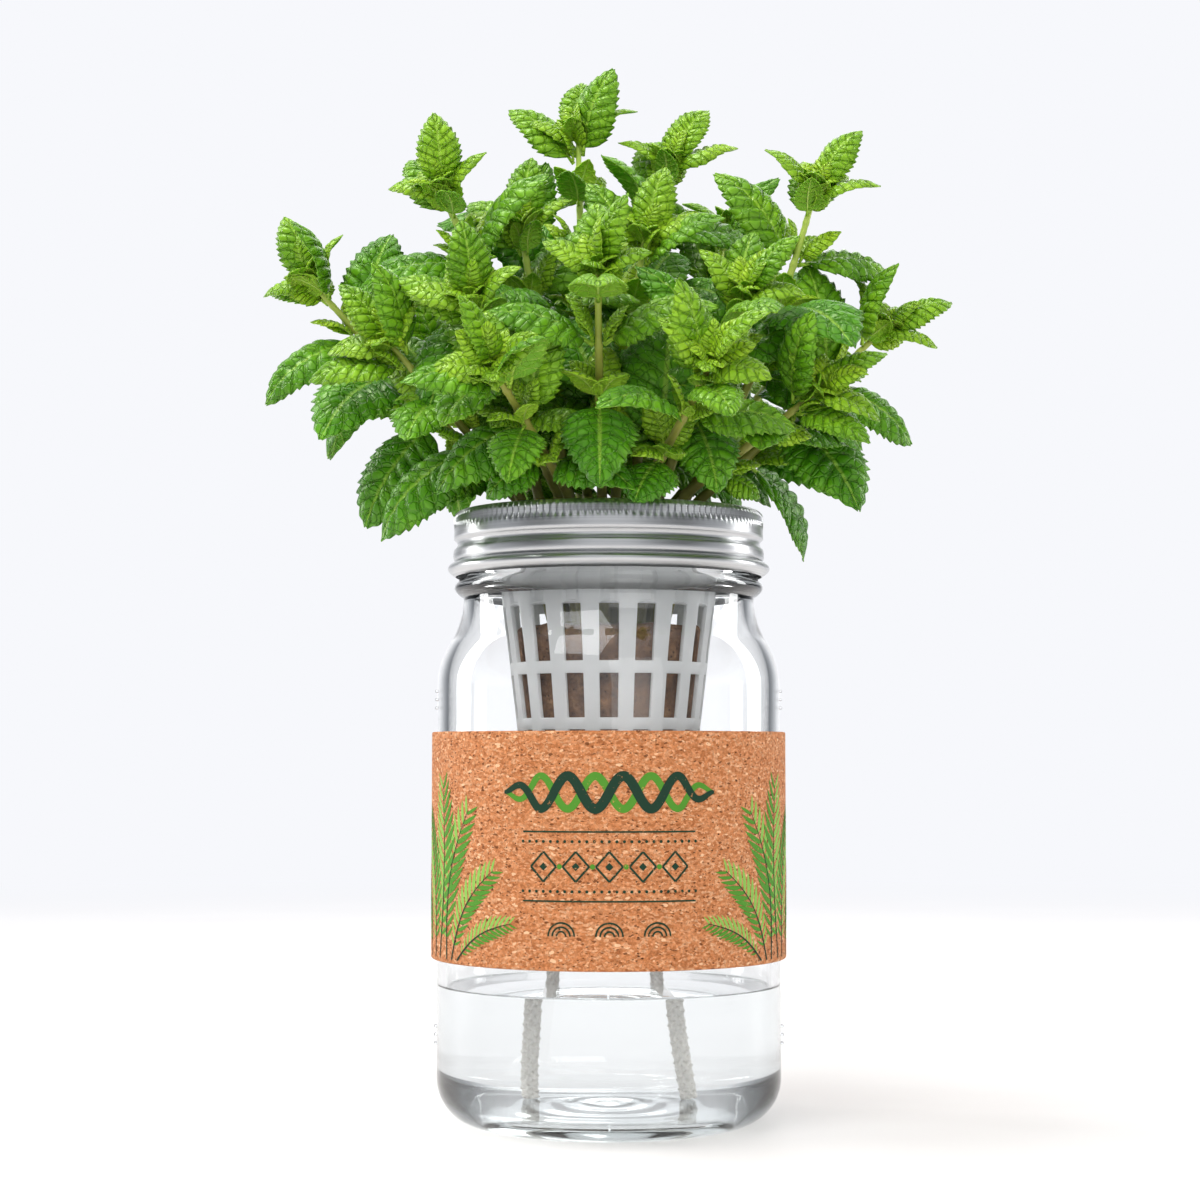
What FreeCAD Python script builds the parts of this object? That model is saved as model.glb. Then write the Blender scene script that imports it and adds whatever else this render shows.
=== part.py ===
import FreeCAD, Part
import math
import os

# Hydroponic jar planter: a glass jar with a screw band, a slotted net pot with two wicks,
# a grow plug and a leafy herb. Millimetres, +Z up, origin on the jar's axis at the table.
# The front, where the label's face is, looks towards -Y.

Vector = FreeCAD.Vector
UP = Vector(0, 0, 1)
FULL_TURN = 360.0
RIGHT_ANGLE = 90.0

# Clearances and one overrun for all cuts
running_gap = 0.3
seat_gap = 0.2
overrun = 5.0

# Glass jar
jar_height = 172.0
jar_radius = 49.2
glass_wall = 3.0
floor_height = 6.0
heel_radius = 13.0
foot_ring_width = 1.6
punt_height = 2.6
punt_run = 5.0
shoulder_height = 24.5
shoulder_run = 7.2
neck_run = 0.5
neck_wall = 4.0
bead_proud = 2.6
bead_half_height = 2.9
finish_step = 0.8
rim_round = 1.0
thread_proud = 1.5
thread_height = 2.4
thread_pitch = 4.6
thread_count = 2
thread_drop = 6.5

# Raised measure marks on the two sides of the jar
mark_length = 4.4
mark_height = 0.9
mark_proud = 0.7
mark_pitch = 2.4
mark_count = 3
mark_low_level = 22.0
mark_drop = 7.0

# Cork label sleeve
label_low_gap = 19.2
label_top_gap = 6.5
label_thickness = 1.4
label_seam = 0.8
label_edge_round = 0.35

# Net pot
pot_flange_thickness = 1.6
pot_flange_overhang = 0.2
pot_wall = 1.3
pot_floor_thickness = 1.5
pot_depth = 76.0
pot_mouth_gap = 5.7
pot_taper = 9.2
pot_rib_count = 18
pot_rib_width = 4.3
pot_ring_height = 3.2
pot_row_pitch = 15.5
pot_row_count = 3
pot_skirt_height = 3.4
drain_slot_count = 8
drain_slot_length = 8.0
drain_slot_width = 2.4

# Screw band
band_wall = 0.5
thread_gap = 0.5
band_lip_step = 0.2
band_height = 18.8
band_corner = 1.9
groove_depth = 1.0
groove_half_height = 1.55
bulge_proud = 0.25
bulge_height = 3.05
hem_proud = 1.8
hem_height = 4.7

# Grow plug
plug_height = 44.5
plug_gap = 0.35
plug_chamfer = 2.0
stem_socket_depth = 7.0

# Wicks
wick_diameter = 4.4
wick_spacing = 25.0
wick_end_gap = 0.8
wick_bend_share = 0.45

# Herb: how far it spreads from the axis and how far it grows above the band
herb_spread = 100.0
herb_growth = 120.0
mouth_clear_height = 3.5
stem_base_radius = 1.7
stem_tip_radius = 0.9
node_swell_share = 1.2
stem_socket_gap = 0.2
leaf_length = 37.0
leaf_thickness = 0.9
leaf_stalk_width = 1.6
leaf_root_gap = 0.25
leaf_clearance = 1.25
leaf_low_limit = 6.0
band_clearance = 2.0

# Shapes of a leaf and of the herb, as shares of the sizes above
leaf_width_share = 0.58
leaf_widest_share = 0.42
leaf_stalk_share = 0.11
leaf_arch_share = 0.10
stem_socket_share = 0.62
leaf_size_shares = [0.36, 0.50, 0.64, 0.78, 0.90, 1.0]
node_spacing_shares = [0.0, 0.24, 0.34, 0.42, 0.46, 0.46, 0.42, 0.40, 0.36]
node_leaf_steps = [1, 2, 3, 5, 5, 5, 4, 4, 3]
node_lift_degrees = [70.0, 50.0, 34.0, 22.0, 12.0, 4.0, -2.0, -6.0, -8.0]
leaf_droop_shares = [0.0, 0.25, 0.5, 0.7, 0.85, 0.95, 1.0, 1.0, 1.0]
front_droop_share = 0.5
light_share = 0.75

# Each stem: name, its place in the band's mouth (x, y as shares of the pot's mouth radius),
# its bend and its tip (x, y as shares of the spread, z as a share of the growth), first twist
stem_plan_shares = [
    ("left", (-0.62, -0.25), (-0.31, -0.14, 0.43), (-0.47, -0.24, 0.71), 10),
    ("top", (-0.19, 0.25), (-0.08, 0.10, 0.50), (-0.09, 0.14, 0.92), 80),
    ("centre_right", (0.25, 0.02), (0.09, 0.02, 0.46), (0.18, 0.05, 0.83), 20),
    ("right", (0.68, -0.19), (0.44, -0.12, 0.26), (0.59, -0.15, 0.73), 0),
    ("front", (-0.06, -0.56), (-0.03, -0.44, 0.26), (-0.03, -0.56, 0.47), 0),
    ("centre", (0.06, -0.22), (0.05, -0.17, 0.34), (0.10, -0.24, 0.60), 70),
    ("centre_left", (-0.34, -0.10), (-0.20, -0.10, 0.36), (-0.25, -0.14, 0.64), 40),
    ("mid_right", (0.42, -0.40), (0.26, -0.27, 0.22), (0.37, -0.40, 0.44), 15),
    ("mid_left", (-0.44, -0.50), (-0.26, -0.31, 0.20), (-0.37, -0.44, 0.42), 45),
    ("front_left", (-0.78, -0.34), (-0.40, -0.19, 0.15), (-0.61, -0.30, 0.34), 80),
    ("far_left", (-0.80, 0.10), (-0.55, 0.04, 0.24), (-0.87, 0.04, 0.54), 15),
    ("far_right", (0.80, 0.08), (0.51, -0.03, 0.18), (0.79, -0.05, 0.41), 10),
    ("front_right", (0.66, -0.52), (0.40, -0.28, 0.11), (0.57, -0.37, 0.22), 70),
    ("low_front_right", (0.27, -0.76), (0.18, -0.43, 0.11), (0.27, -0.64, 0.25), 30),
    ("low_front_left", (-0.36, -0.74), (-0.20, -0.42, 0.11), (-0.31, -0.62, 0.24), 60),
    ("right_rear", (0.45, 0.42), (0.26, 0.24, 0.42), (0.38, 0.36, 0.72), 35),
    ("left_rear", (-0.45, 0.45), (-0.18, 0.27, 0.42), (-0.27, 0.40, 0.73), 55),
    ("rear", (0.06, 0.66), (0.04, 0.42, 0.36), (0.06, 0.56, 0.60), 5),
    ("rear_right", (0.56, 0.66), (0.38, 0.38, 0.21), (0.58, 0.51, 0.44), 65),
    ("rear_left", (-0.60, 0.62), (-0.38, 0.36, 0.22), (-0.58, 0.52, 0.46), 25),
    ("low_rear", (-0.22, 0.84), (-0.10, 0.52, 0.10), (-0.14, 0.66, 0.26), 40),
]

# Places that follow from the sizes above
seat_height = jar_height
band_top = seat_height + pot_flange_thickness + running_gap + band_wall
band_bottom = band_top - band_height
bead_height = band_bottom - running_gap - bead_half_height
shoulder_top = bead_height - bead_half_height - neck_run
shoulder_bottom = shoulder_top - shoulder_height
neck_radius = jar_radius - shoulder_run
rim_inner = neck_radius - neck_wall
finish_radius = neck_radius - finish_step
thread_crest_radius = finish_radius + thread_proud
band_radius = thread_crest_radius + thread_gap + band_wall + groove_depth
band_opening_radius = rim_inner + band_lip_step
hem_radius = band_radius + hem_proud
mark_top_level = shoulder_bottom - mark_drop
label_bottom = mark_low_level + (mark_count - 1) * mark_pitch + mark_height + label_low_gap
label_height = mark_top_level - label_top_gap - label_bottom
pot_flange_radius = finish_radius + pot_flange_overhang
pot_mouth_radius = rim_inner - pot_mouth_gap
pot_floor_radius = pot_mouth_radius - pot_taper
pot_floor_bottom = seat_height - pot_depth
pot_floor_top = pot_floor_bottom + pot_floor_thickness
plug_top = pot_floor_top + plug_height
label_radius = jar_radius + seat_gap
wick_end_height = floor_height + wick_end_gap


def face_of(edges):
    """A flat face inside a closed run of edges."""
    return Part.Face(Part.Wire(edges))


def turned(edges):
    """A solid of revolution about the jar's axis from a closed profile in the XZ plane."""
    return face_of(edges).revolve(Vector(0, 0, 0), UP, FULL_TURN)


def at(radius, height):
    """A point of a profile."""
    return Vector(radius, 0, height)


def line(start, end):
    return Part.LineSegment(start, end).toShape()


def arc(start, middle, end):
    return Part.Arc(start, middle, end).toShape()


def corner_arc(centre, radius, start_degrees, end_degrees):
    """An arc about a centre in the XZ plane, given by its start and end angles."""
    def spot(degrees):
        angle = math.radians(degrees)
        return centre + Vector(radius * math.cos(angle), 0, radius * math.sin(angle))
    return arc(spot(start_degrees), spot((start_degrees + end_degrees) / 2), spot(end_degrees))


def chain(points):
    """Straight edges from point to point."""
    return [line(first, second) for first, second in zip(points, points[1:])]


def ring_tube(inner, outer, bottom, height):
    """A plain tube about the jar's axis."""
    body = Part.makeCylinder(outer, height, Vector(0, 0, bottom))
    return body.cut(Part.makeCylinder(inner, height, Vector(0, 0, bottom)))


def around(shape, count, first_degrees=0.0):
    """Copies of a shape set out evenly about the jar's axis."""
    copies = []
    for index in range(count):
        copy = shape.copy()
        copy.rotate(Vector(0, 0, 0), UP, first_degrees + index * FULL_TURN / count)
        copies.append(copy)
    return copies


# Glass jar

def shoulder(wall, upward):
    """The two arcs between the body and the neck, for the outer wall or the inner one."""
    low = at(jar_radius - wall, shoulder_bottom)
    high = at(neck_radius - wall, shoulder_top)
    middle = (low + high) / 2
    step = (low.x - high.x) / 8
    lower = arc(low, (low + middle) / 2 + Vector(step, 0, 0), middle)
    upper = arc(middle, (middle + high) / 2 - Vector(step, 0, 0), high)
    return [lower, upper] if upward else [upper, lower]


def glass_jar():
    inner_heel = heel_radius - glass_wall
    foot_outer = jar_radius - heel_radius
    foot_inner = foot_outer - foot_ring_width
    punt_edge = foot_inner - punt_run
    bead_low = bead_height - bead_half_height
    bead_high = bead_height + bead_half_height
    edges = chain([at(0, punt_height), at(punt_edge, punt_height), at(foot_inner, 0), at(foot_outer, 0)])
    edges.append(corner_arc(at(foot_outer, heel_radius), heel_radius, -RIGHT_ANGLE, 0))
    edges.append(line(at(jar_radius, heel_radius), at(jar_radius, shoulder_bottom)))
    edges += shoulder(0, True)
    edges.append(line(at(neck_radius, shoulder_top), at(neck_radius, bead_low)))
    edges.append(arc(at(neck_radius, bead_low), at(neck_radius + bead_proud, bead_height),
                     at(neck_radius, bead_high)))
    edges += chain([at(neck_radius, bead_high), at(finish_radius, bead_high),
                    at(finish_radius, jar_height - rim_round)])
    edges.append(corner_arc(at(finish_radius - rim_round, jar_height - rim_round), rim_round, 0, RIGHT_ANGLE))
    edges += chain([at(finish_radius - rim_round, jar_height), at(rim_inner, jar_height),
                    at(rim_inner, shoulder_top + glass_wall)])
    edges.append(line(at(rim_inner, shoulder_top + glass_wall), at(neck_radius - glass_wall, shoulder_top)))
    edges += shoulder(glass_wall, False)
    inner_radius = jar_radius - glass_wall
    heel_centre = at(inner_radius - inner_heel, floor_height + inner_heel)
    edges.append(line(at(inner_radius, shoulder_bottom), at(inner_radius, heel_centre.z)))
    edges.append(corner_arc(heel_centre, inner_heel, 0, -RIGHT_ANGLE))
    edges += chain([at(heel_centre.x, floor_height), at(0, floor_height), at(0, punt_height)])
    jar = turned(edges)
    threads = []
    for index in range(thread_count):
        height = jar_height - thread_drop - index * thread_pitch
        threads.append(turned([
            line(at(rim_inner + rim_round, height - thread_height / 2), at(finish_radius, height - thread_height / 2)),
            arc(at(finish_radius, height - thread_height / 2), at(thread_crest_radius, height),
                at(finish_radius, height + thread_height / 2)),
            line(at(finish_radius, height + thread_height / 2), at(rim_inner + rim_round, height + thread_height / 2)),
            line(at(rim_inner + rim_round, height + thread_height / 2),
                 at(rim_inner + rim_round, height - thread_height / 2))]))
    return jar.fuse(threads + measure_marks()).removeSplitter()


def measure_marks():
    """Short raised bars in a column, on both sides of the jar."""
    marks = []
    for level in (mark_low_level, mark_top_level):
        for index in range(mark_count):
            bar = Part.makeBox(glass_wall / 2 + mark_proud, mark_length, mark_height,
                               Vector(jar_radius - glass_wall / 2, -mark_length / 2, level + index * mark_pitch))
            marks += around(bar, 2)
    return marks


# Cork label

def cork_label():
    sleeve = ring_tube(label_radius, label_radius + label_thickness, label_bottom, label_height)
    sleeve = sleeve.makeFillet(label_edge_round, [edge for edge in sleeve.Edges
                                                  if len(edge.Vertexes) == 1
                                                  and edge.Curve.Radius > label_radius + label_thickness / 2])
    seam = Part.makeBox(label_seam, label_thickness + 2 * overrun, label_height + 2 * overrun,
                        Vector(-label_seam / 2, label_radius - overrun, label_bottom - overrun))
    return sleeve.cut(seam)


# Net pot

def pot_radius(height):
    """The pot's outer radius at a height."""
    share = (height - pot_floor_bottom) / pot_depth
    return pot_floor_radius + share * (pot_mouth_radius - pot_floor_radius)


def net_pot():
    flange_top = seat_height + pot_flange_thickness
    shell = turned(chain([
        at(0, pot_floor_bottom), at(pot_radius(pot_floor_bottom), pot_floor_bottom),
        at(pot_radius(seat_height), seat_height), at(pot_flange_radius, seat_height),
        at(pot_flange_radius, flange_top), at(pot_radius(flange_top) - pot_wall, flange_top),
        at(pot_radius(pot_floor_top) - pot_wall, pot_floor_top), at(0, pot_floor_top), at(0, pot_floor_bottom)]))
    cutters = []
    window_height = pot_row_pitch - pot_ring_height
    for row in range(pot_row_count):
        bottom = pot_floor_bottom + pot_skirt_height + row * pot_row_pitch
        ring_radius = pot_radius(bottom + window_height / 2)
        window_width = 2 * math.pi * ring_radius / pot_rib_count - pot_rib_width
        reach = pot_mouth_radius + overrun - pot_floor_radius / 2
        window = Part.makeBox(reach, window_width, window_height,
                              Vector(pot_floor_radius / 2, -window_width / 2, bottom))
        cutters += around(window, pot_rib_count, FULL_TURN / pot_rib_count / 2)
    slot_start = pot_floor_radius - pot_wall - pot_rib_width - drain_slot_length
    slot = Part.makeBox(drain_slot_length, drain_slot_width, pot_floor_thickness + 2 * overrun,
                        Vector(slot_start, -drain_slot_width / 2, pot_floor_bottom - overrun))
    cutters += around(slot, drain_slot_count, FULL_TURN / drain_slot_count / 2)
    for side in (-1, 1):
        cutters.append(Part.makeCylinder(wick_diameter / 2 + seat_gap, pot_floor_thickness + 2 * overrun,
                                         Vector(side * wick_spacing / 2, 0, pot_floor_bottom - overrun)))
    return shell.cut(cutters)


# Screw band

def screw_band():
    """A thin formed sheet: a flat lip, a rounded corner, a groove, a bulge and a curled hem."""
    def skin(inset):
        """The band's line from the lip's edge down to the hem, set in by an inset."""
        side = band_radius - inset
        top = band_top - inset
        hem_top = band_bottom + hem_height
        groove = hem_top + bulge_height + groove_half_height
        corner = band_corner - inset
        hem_turn = side - groove_depth / 2
        return [
            line(at(band_opening_radius, top), at(side - corner, top)),
            corner_arc(at(side - corner, top - corner), corner, RIGHT_ANGLE, 0),
            line(at(side, top - corner), at(side, groove + groove_half_height)),
            arc(at(side, groove + groove_half_height), at(side - groove_depth, groove),
                at(side, groove - groove_half_height)),
            arc(at(side, groove - groove_half_height),
                at(side + bulge_proud, (groove - groove_half_height + hem_top) / 2), at(side, hem_top)),
            line(at(side, hem_top), at(hem_turn, hem_top - groove_half_height / 4)),
            arc(at(hem_turn, hem_top - groove_half_height / 4), at(hem_radius - inset, band_bottom + hem_height / 2),
                at(hem_turn + inset, band_bottom + inset)),
        ]
    outer = skin(0)
    inner = skin(band_wall)
    lip = line(outer[0].Vertexes[0].Point, inner[0].Vertexes[0].Point)
    hem = line(outer[-1].Vertexes[-1].Point, inner[-1].Vertexes[-1].Point)
    return turned(Part.__sortEdges__(outer + inner + [lip, hem]))


# Grow plug

def stem_socket_place(mouth):
    return Vector(mouth[0] * pot_mouth_radius, mouth[1] * pot_mouth_radius, 0) * stem_socket_share


def grow_plug():
    inset = pot_wall + plug_gap
    low_radius = pot_radius(pot_floor_top) - inset
    high_radius = pot_radius(plug_top) - inset
    plug = turned(chain([
        at(0, pot_floor_top), at(low_radius, pot_floor_top), at(high_radius, plug_top - plug_chamfer),
        at(high_radius - plug_chamfer, plug_top), at(0, plug_top), at(0, pot_floor_top)]))
    sockets = []
    for name, mouth, bend, tip, twist in stem_plan_shares:
        place = stem_socket_place(mouth) + Vector(0, 0, plug_top - stem_socket_depth)
        sockets.append(Part.makeCylinder(stem_base_radius + stem_socket_gap, stem_socket_depth + overrun, place))
    return plug.cut(sockets)


# Wicks

def rounded_path(points):
    """Straight runs joined by tangent arcs, each arc as large as its two runs allow."""
    edges = []
    start = points[0]
    radii = []
    for before, corner, after in zip(points, points[1:], points[2:]):
        into = (corner - before).normalize()
        out = (after - corner).normalize()
        setback = wick_bend_share * min((corner - before).Length, (after - corner).Length)
        half_turn = into.getAngle(out) / 2
        radius = setback / math.tan(half_turn)
        bisector = (out - into).normalize()
        arc_start = corner - into * setback
        arc_end = corner + out * setback
        middle = corner + bisector * (radius / math.cos(half_turn) - radius)
        edges.append(line(start, arc_start))
        edges.append(arc(arc_start, middle, arc_end))
        start = arc_end
        radii.append(round(radius, 1))
    edges.append(line(start, points[-1]))
    return Part.Wire(edges), radii


def wick(name, route):
    """A limp cotton cord along its route, cut square at both ends."""
    path, radii = rounded_path(route)
    ring = Part.Circle(route[0], UP, wick_diameter / 2).toShape()
    cord = path.makePipeShell([Part.Wire(ring)], True, False)
    expected = math.pi * wick_diameter ** 2 / 4 * path.Length
    print(name, "length", round(path.Length, 1), "bend radii", radii, "volume share",
          round(cord.Volume / expected, 4))
    return cord


# Each route runs from the plug's underside down to its cut end near the glass floor
wick_top = Vector(wick_spacing / 2, 0, pot_floor_top)
wick_left_route = [
    Vector(-wick_top.x, 0, wick_top.z), Vector(-wick_top.x, 0, 84.0), Vector(-14.0, 1.4, 62.0),
    Vector(-16.0, 0.6, 43.0), Vector(-16.6, -0.8, 28.0), Vector(-17.2, 0.2, 15.5),
    Vector(-16.8, 0.7, wick_end_height)]
wick_right_route = [
    Vector(wick_top.x, 0, wick_top.z), Vector(wick_top.x, 0, 84.0), Vector(12.8, -1.4, 62.0),
    Vector(13.6, -0.6, 43.0), Vector(14.6, 0.6, 28.0), Vector(16.2, 0.2, 15.5),
    Vector(17.3, -0.5, wick_end_height)]


# Herb stems

def herb_point(shares):
    """A point of the herb from its shares of the spread and of the growth."""
    return Vector(shares[0] * herb_spread, shares[1] * herb_spread,
                  band_top + mouth_clear_height + shares[2] * herb_growth)


class Stem:
    """A stem: straight up through the pot's mouth, then along one smooth bend to its tip."""

    def __init__(self, name, mouth, bend, tip, twist):
        self.name = name
        self.twist = twist
        self.socket = stem_socket_place(mouth)
        self.mouth = Vector(mouth[0] * pot_mouth_radius, mouth[1] * pot_mouth_radius,
                            band_top + mouth_clear_height)
        self.bend = herb_point(bend)
        self.tip = herb_point(tip)
        self.nodes = self.find_nodes()
        self.joints = self.find_joints()

    def spot(self, share):
        """A point of the bend, from 0 at the mouth to 1 at the tip."""
        rest = 1 - share
        return self.mouth * rest ** 2 + self.bend * (2 * rest * share) + self.tip * share ** 2

    def heading(self, share):
        ahead = (self.bend - self.mouth) * (1 - share) + (self.tip - self.bend) * share
        return ahead.normalize()

    def find_nodes(self):
        """Where the leaf pairs stand: shares along the bend, from the tip down."""
        steps = 200
        nodes = []
        walked = 0.0
        wanted = 0.0
        last = self.tip
        rows = iter(node_spacing_shares)
        wanted = next(rows) * leaf_length
        for index in range(steps, -1, -1):
            share = index / steps
            point = self.spot(share)
            walked += (point - last).Length
            last = point
            if walked >= wanted:
                if point.z < band_top + leaf_low_limit:
                    break
                nodes.append(share)
                following = next(rows, None)
                if following is None:
                    break
                wanted += following * leaf_length
        return nodes

    def find_joints(self):
        """The stem's corner points with their radii, from the plug up."""
        shares = sorted(set(self.nodes + [0.0, 1.0]))
        points = [self.socket + Vector(0, 0, plug_top)] + [self.spot(share) for share in shares]
        count = len(points) - 1
        return [(point, stem_base_radius + (stem_tip_radius - stem_base_radius) * index / count)
                for index, point in enumerate(points)]

    def radius_at(self, share):
        point = self.spot(share)
        for joint, radius in self.joints:
            if (joint - point).Length < seat_gap:
                return radius * node_swell_share
        return stem_base_radius

    def solid(self):
        foot = self.socket + Vector(0, 0, plug_top - stem_socket_depth)
        pieces = [Part.makeCylinder(stem_base_radius, stem_socket_depth, foot)]
        for (low, low_radius), (high, high_radius) in zip(self.joints, self.joints[1:]):
            pieces.append(Part.makeCone(low_radius, high_radius, (high - low).Length, low, high - low))
        for index, (point, radius) in enumerate(self.joints):
            swell = node_swell_share if index > 1 else 1
            pieces.append(Part.makeSphere(radius * swell, point))
        return pieces[0].fuse(pieces[1:])


# Herb leaves

def leaf_outline(length):
    """An ovate blade on a short stalk, seen from above, from the root at the origin along +X."""
    half_width = leaf_width_share * length / 2
    widest = leaf_widest_share * length
    stalk = leaf_stalk_share * length
    half_stalk = leaf_stalk_width / 2

    def bow(run, rise):
        """How far an arc that ends level has risen halfway along its run."""
        radius = (run ** 2 + rise ** 2) / (2 * rise)
        return rise - radius + math.sqrt(radius ** 2 - run ** 2 / 4)
    edges = []
    for side in (1, -1):
        root = Vector(0, side * half_stalk, 0)
        neck = Vector(stalk, side * half_stalk, 0)
        cheek = Vector((stalk + widest) / 2, side * (half_stalk + bow(widest - stalk, half_width - half_stalk)), 0)
        belly = Vector(widest, side * half_width, 0)
        flank = Vector((widest + length) / 2, side * bow(length - widest, half_width), 0)
        edges += [line(root, neck), arc(neck, cheek, belly), arc(belly, flank, Vector(length, 0, 0))]
    edges.append(line(Vector(0, -half_stalk, 0), Vector(0, half_stalk, 0)))
    return edges


def arch_radius(length):
    rise = leaf_arch_share * length
    return (length ** 2 / 4 + rise ** 2) / (2 * rise)


def leaf_solid(length):
    """The blade cut from a gently arched sheet, its root at the origin and its tip along +X."""
    blank = Part.Face(Part.Wire(Part.__sortEdges__(leaf_outline(length))))
    depth = length
    blank.translate(Vector(0, 0, -depth / 2))
    column = blank.extrude(Vector(0, 0, depth))
    radius = arch_radius(length)
    width = length
    centre = Vector(length / 2, -width / 2, leaf_arch_share * length - radius)
    across = Vector(0, 1, 0)
    outer = Part.makeCylinder(radius + leaf_thickness / 2, width, centre, across)
    inner = Part.makeCylinder(radius - leaf_thickness / 2, width, centre, across)
    upper_half = Part.makeBox(2 * length, width, 2 * length, Vector(-length / 2, -width / 2, -length / 2))
    return outer.cut(inner).common(upper_half).common(column)


class Leaf:
    """A leaf's place: its root, its direction, its upper side and its length."""

    def __init__(self, root, along, upper, step):
        self.step = step
        self.length = leaf_size_shares[step] * leaf_length
        self.root = root
        self.along = along.normalize()
        self.across = upper.cross(self.along).normalize()
        self.upper = self.along.cross(self.across)
        self.radius = arch_radius(self.length)
        self.middle = root + self.along * (self.length / 2)
        self.points = self.samples()

    def half_width(self, run):
        """The blade's half width at a distance from the root."""
        widest = leaf_widest_share * self.length
        half = leaf_width_share * self.length / 2
        if run < leaf_stalk_share * self.length:
            return leaf_stalk_width / 2
        reach = widest if run < widest else self.length - widest
        return half * math.sqrt(max(0.0, 1 - ((run - widest) / reach) ** 2))

    def arch(self, run):
        return (math.sqrt(self.radius ** 2 - (run - self.length / 2) ** 2)
                - self.radius + leaf_arch_share * self.length)

    def samples(self):
        """Points spread over the blade."""
        points = []
        rows = max(4, int(self.length / (2 * leaf_clearance)))
        for row in range(rows + 1):
            run = self.length * row / rows
            half = self.half_width(run)
            columns = max(1, round(half / (2 * leaf_clearance)))
            for column in range(-columns, columns + 1):
                points.append(self.root + self.along * run + self.across * (half * column / columns)
                              + self.upper * self.arch(run))
        return points

    def near(self, point):
        """True where a point lies on the blade or closer to it than the clearance."""
        offset = point - self.root
        run = offset.dot(self.along)
        if run < -leaf_clearance or run > self.length + leaf_clearance:
            return False
        side = abs(offset.dot(self.across))
        if side > leaf_width_share * self.length / 2 + leaf_clearance:
            return False
        inside_run = min(max(run, 0.0), self.length)
        if side > self.half_width(inside_run) + leaf_clearance:
            return False
        return abs(offset.dot(self.upper) - self.arch(inside_run)) < leaf_clearance

    def solid(self, shapes):
        """This leaf's solid, from the shape of its size."""
        if self.step not in shapes:
            shapes[self.step] = leaf_solid(self.length)
        shape = shapes[self.step].copy()
        a, b, c = self.along, self.across, self.upper
        shape.Placement = FreeCAD.Placement(FreeCAD.Matrix(
            a.x, b.x, c.x, self.root.x, a.y, b.y, c.y, self.root.y, a.z, b.z, c.z, self.root.z, 0, 0, 0, 1))
        return shape


def segment_distance(point, start, end):
    run = end - start
    share = (point - start).dot(run) / run.dot(run)
    return (point - start - run * min(max(share, 0.0), 1.0)).Length


def clears_all(leaf, leaves, stems, own_root_reach):
    """True where a leaf stays clear of the band, of every stem and of every leaf before it."""
    points = leaf.points
    for point in points:
        if point.z < band_top + band_clearance:
            if math.hypot(point.x, point.y) < hem_radius + band_clearance:
                return False
    for other in leaves:
        if (other.middle - leaf.middle).Length > (other.length + leaf.length) / 2 + leaf_clearance:
            continue
        if any(other.near(point) for point in points) or any(leaf.near(point) for point in other.points):
            return False
    for stem in stems:
        for (low, low_radius), (high, high_radius) in zip(stem.joints, stem.joints[1:]):
            reach = max(low_radius, high_radius) * node_swell_share + leaf_thickness / 2 + seat_gap
            if segment_distance(leaf.middle, low, high) > leaf.length / 2 + reach:
                continue
            for point in points:
                if (point - leaf.root).Length < own_root_reach:
                    continue
                if segment_distance(point, low, high) < reach:
                    return False
    return True


def leaf_at(stem, share, side_degrees, lift_degrees, step, level):
    """A leaf on a stem's node, turned about the stem, lifted towards its tip and bent down
    where it reaches outwards. Its upper side turns to the light from the front and above."""
    heading = stem.heading(share)
    right = Vector(0, 1, 0).cross(heading).normalize()
    back = heading.cross(right)
    turn = math.radians(side_degrees)
    lift = math.radians(lift_degrees)
    outward = right * math.cos(turn) + back * math.sin(turn)
    along = outward * math.cos(lift) + heading * math.sin(lift)
    node = stem.spot(share)
    away = Vector(node.x, node.y, 0).normalize()
    droop = max(0.0, along.dot(away)) + max(0.0, -along.y) * front_droop_share
    along = (along - UP * (droop * leaf_droop_shares[level])).normalize()
    light = UP - Vector(0, 1, 0) * light_share
    upper = light - along * light.dot(along)
    reach = stem.radius_at(share) + leaf_root_gap
    if share < 1:
        lean = along.dot(heading)
        reach = (reach + abs(lean) * leaf_thickness / 2) / math.sqrt(1 - lean ** 2)
    return Leaf(node + along * reach, along, upper, step)


# A leaf that would meet another one turns or lifts aside by the first of these that is clear
aside_turns = [0, 16, -16, 34, -34, 52, -52]
aside_lifts = [0, 14, -14, 28]


def place_leaves(stems):
    """Pairs of leaves at every node, each pair a quarter turn from the one below it."""
    placed = {stem.name: [] for stem in stems}
    every_leaf = []
    depth = max(len(stem.nodes) for stem in stems)
    for level in range(depth):
        for stem in stems:
            if level >= len(stem.nodes):
                continue
            share = stem.nodes[level]
            for side in (0, 180):
                azimuth = stem.twist + level * RIGHT_ANGLE + side
                leaf = first_clear_leaf(stem, share, azimuth, level, every_leaf, stems)
                if leaf is not None:
                    placed[stem.name].append(leaf)
                    every_leaf.append(leaf)
    print("leaves", len(every_leaf))
    return placed


def first_clear_leaf(stem, share, azimuth, level, every_leaf, stems):
    for smaller in (0, 1, 3):
        step = max(0, node_leaf_steps[level] - smaller)
        for lift in aside_lifts:
            for turn in aside_turns:
                leaf = leaf_at(stem, share, azimuth + turn, node_lift_degrees[level] + lift, step, level)
                if clears_all(leaf, every_leaf, stems, stem_base_radius * 3):
                    return leaf
    return None


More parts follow.
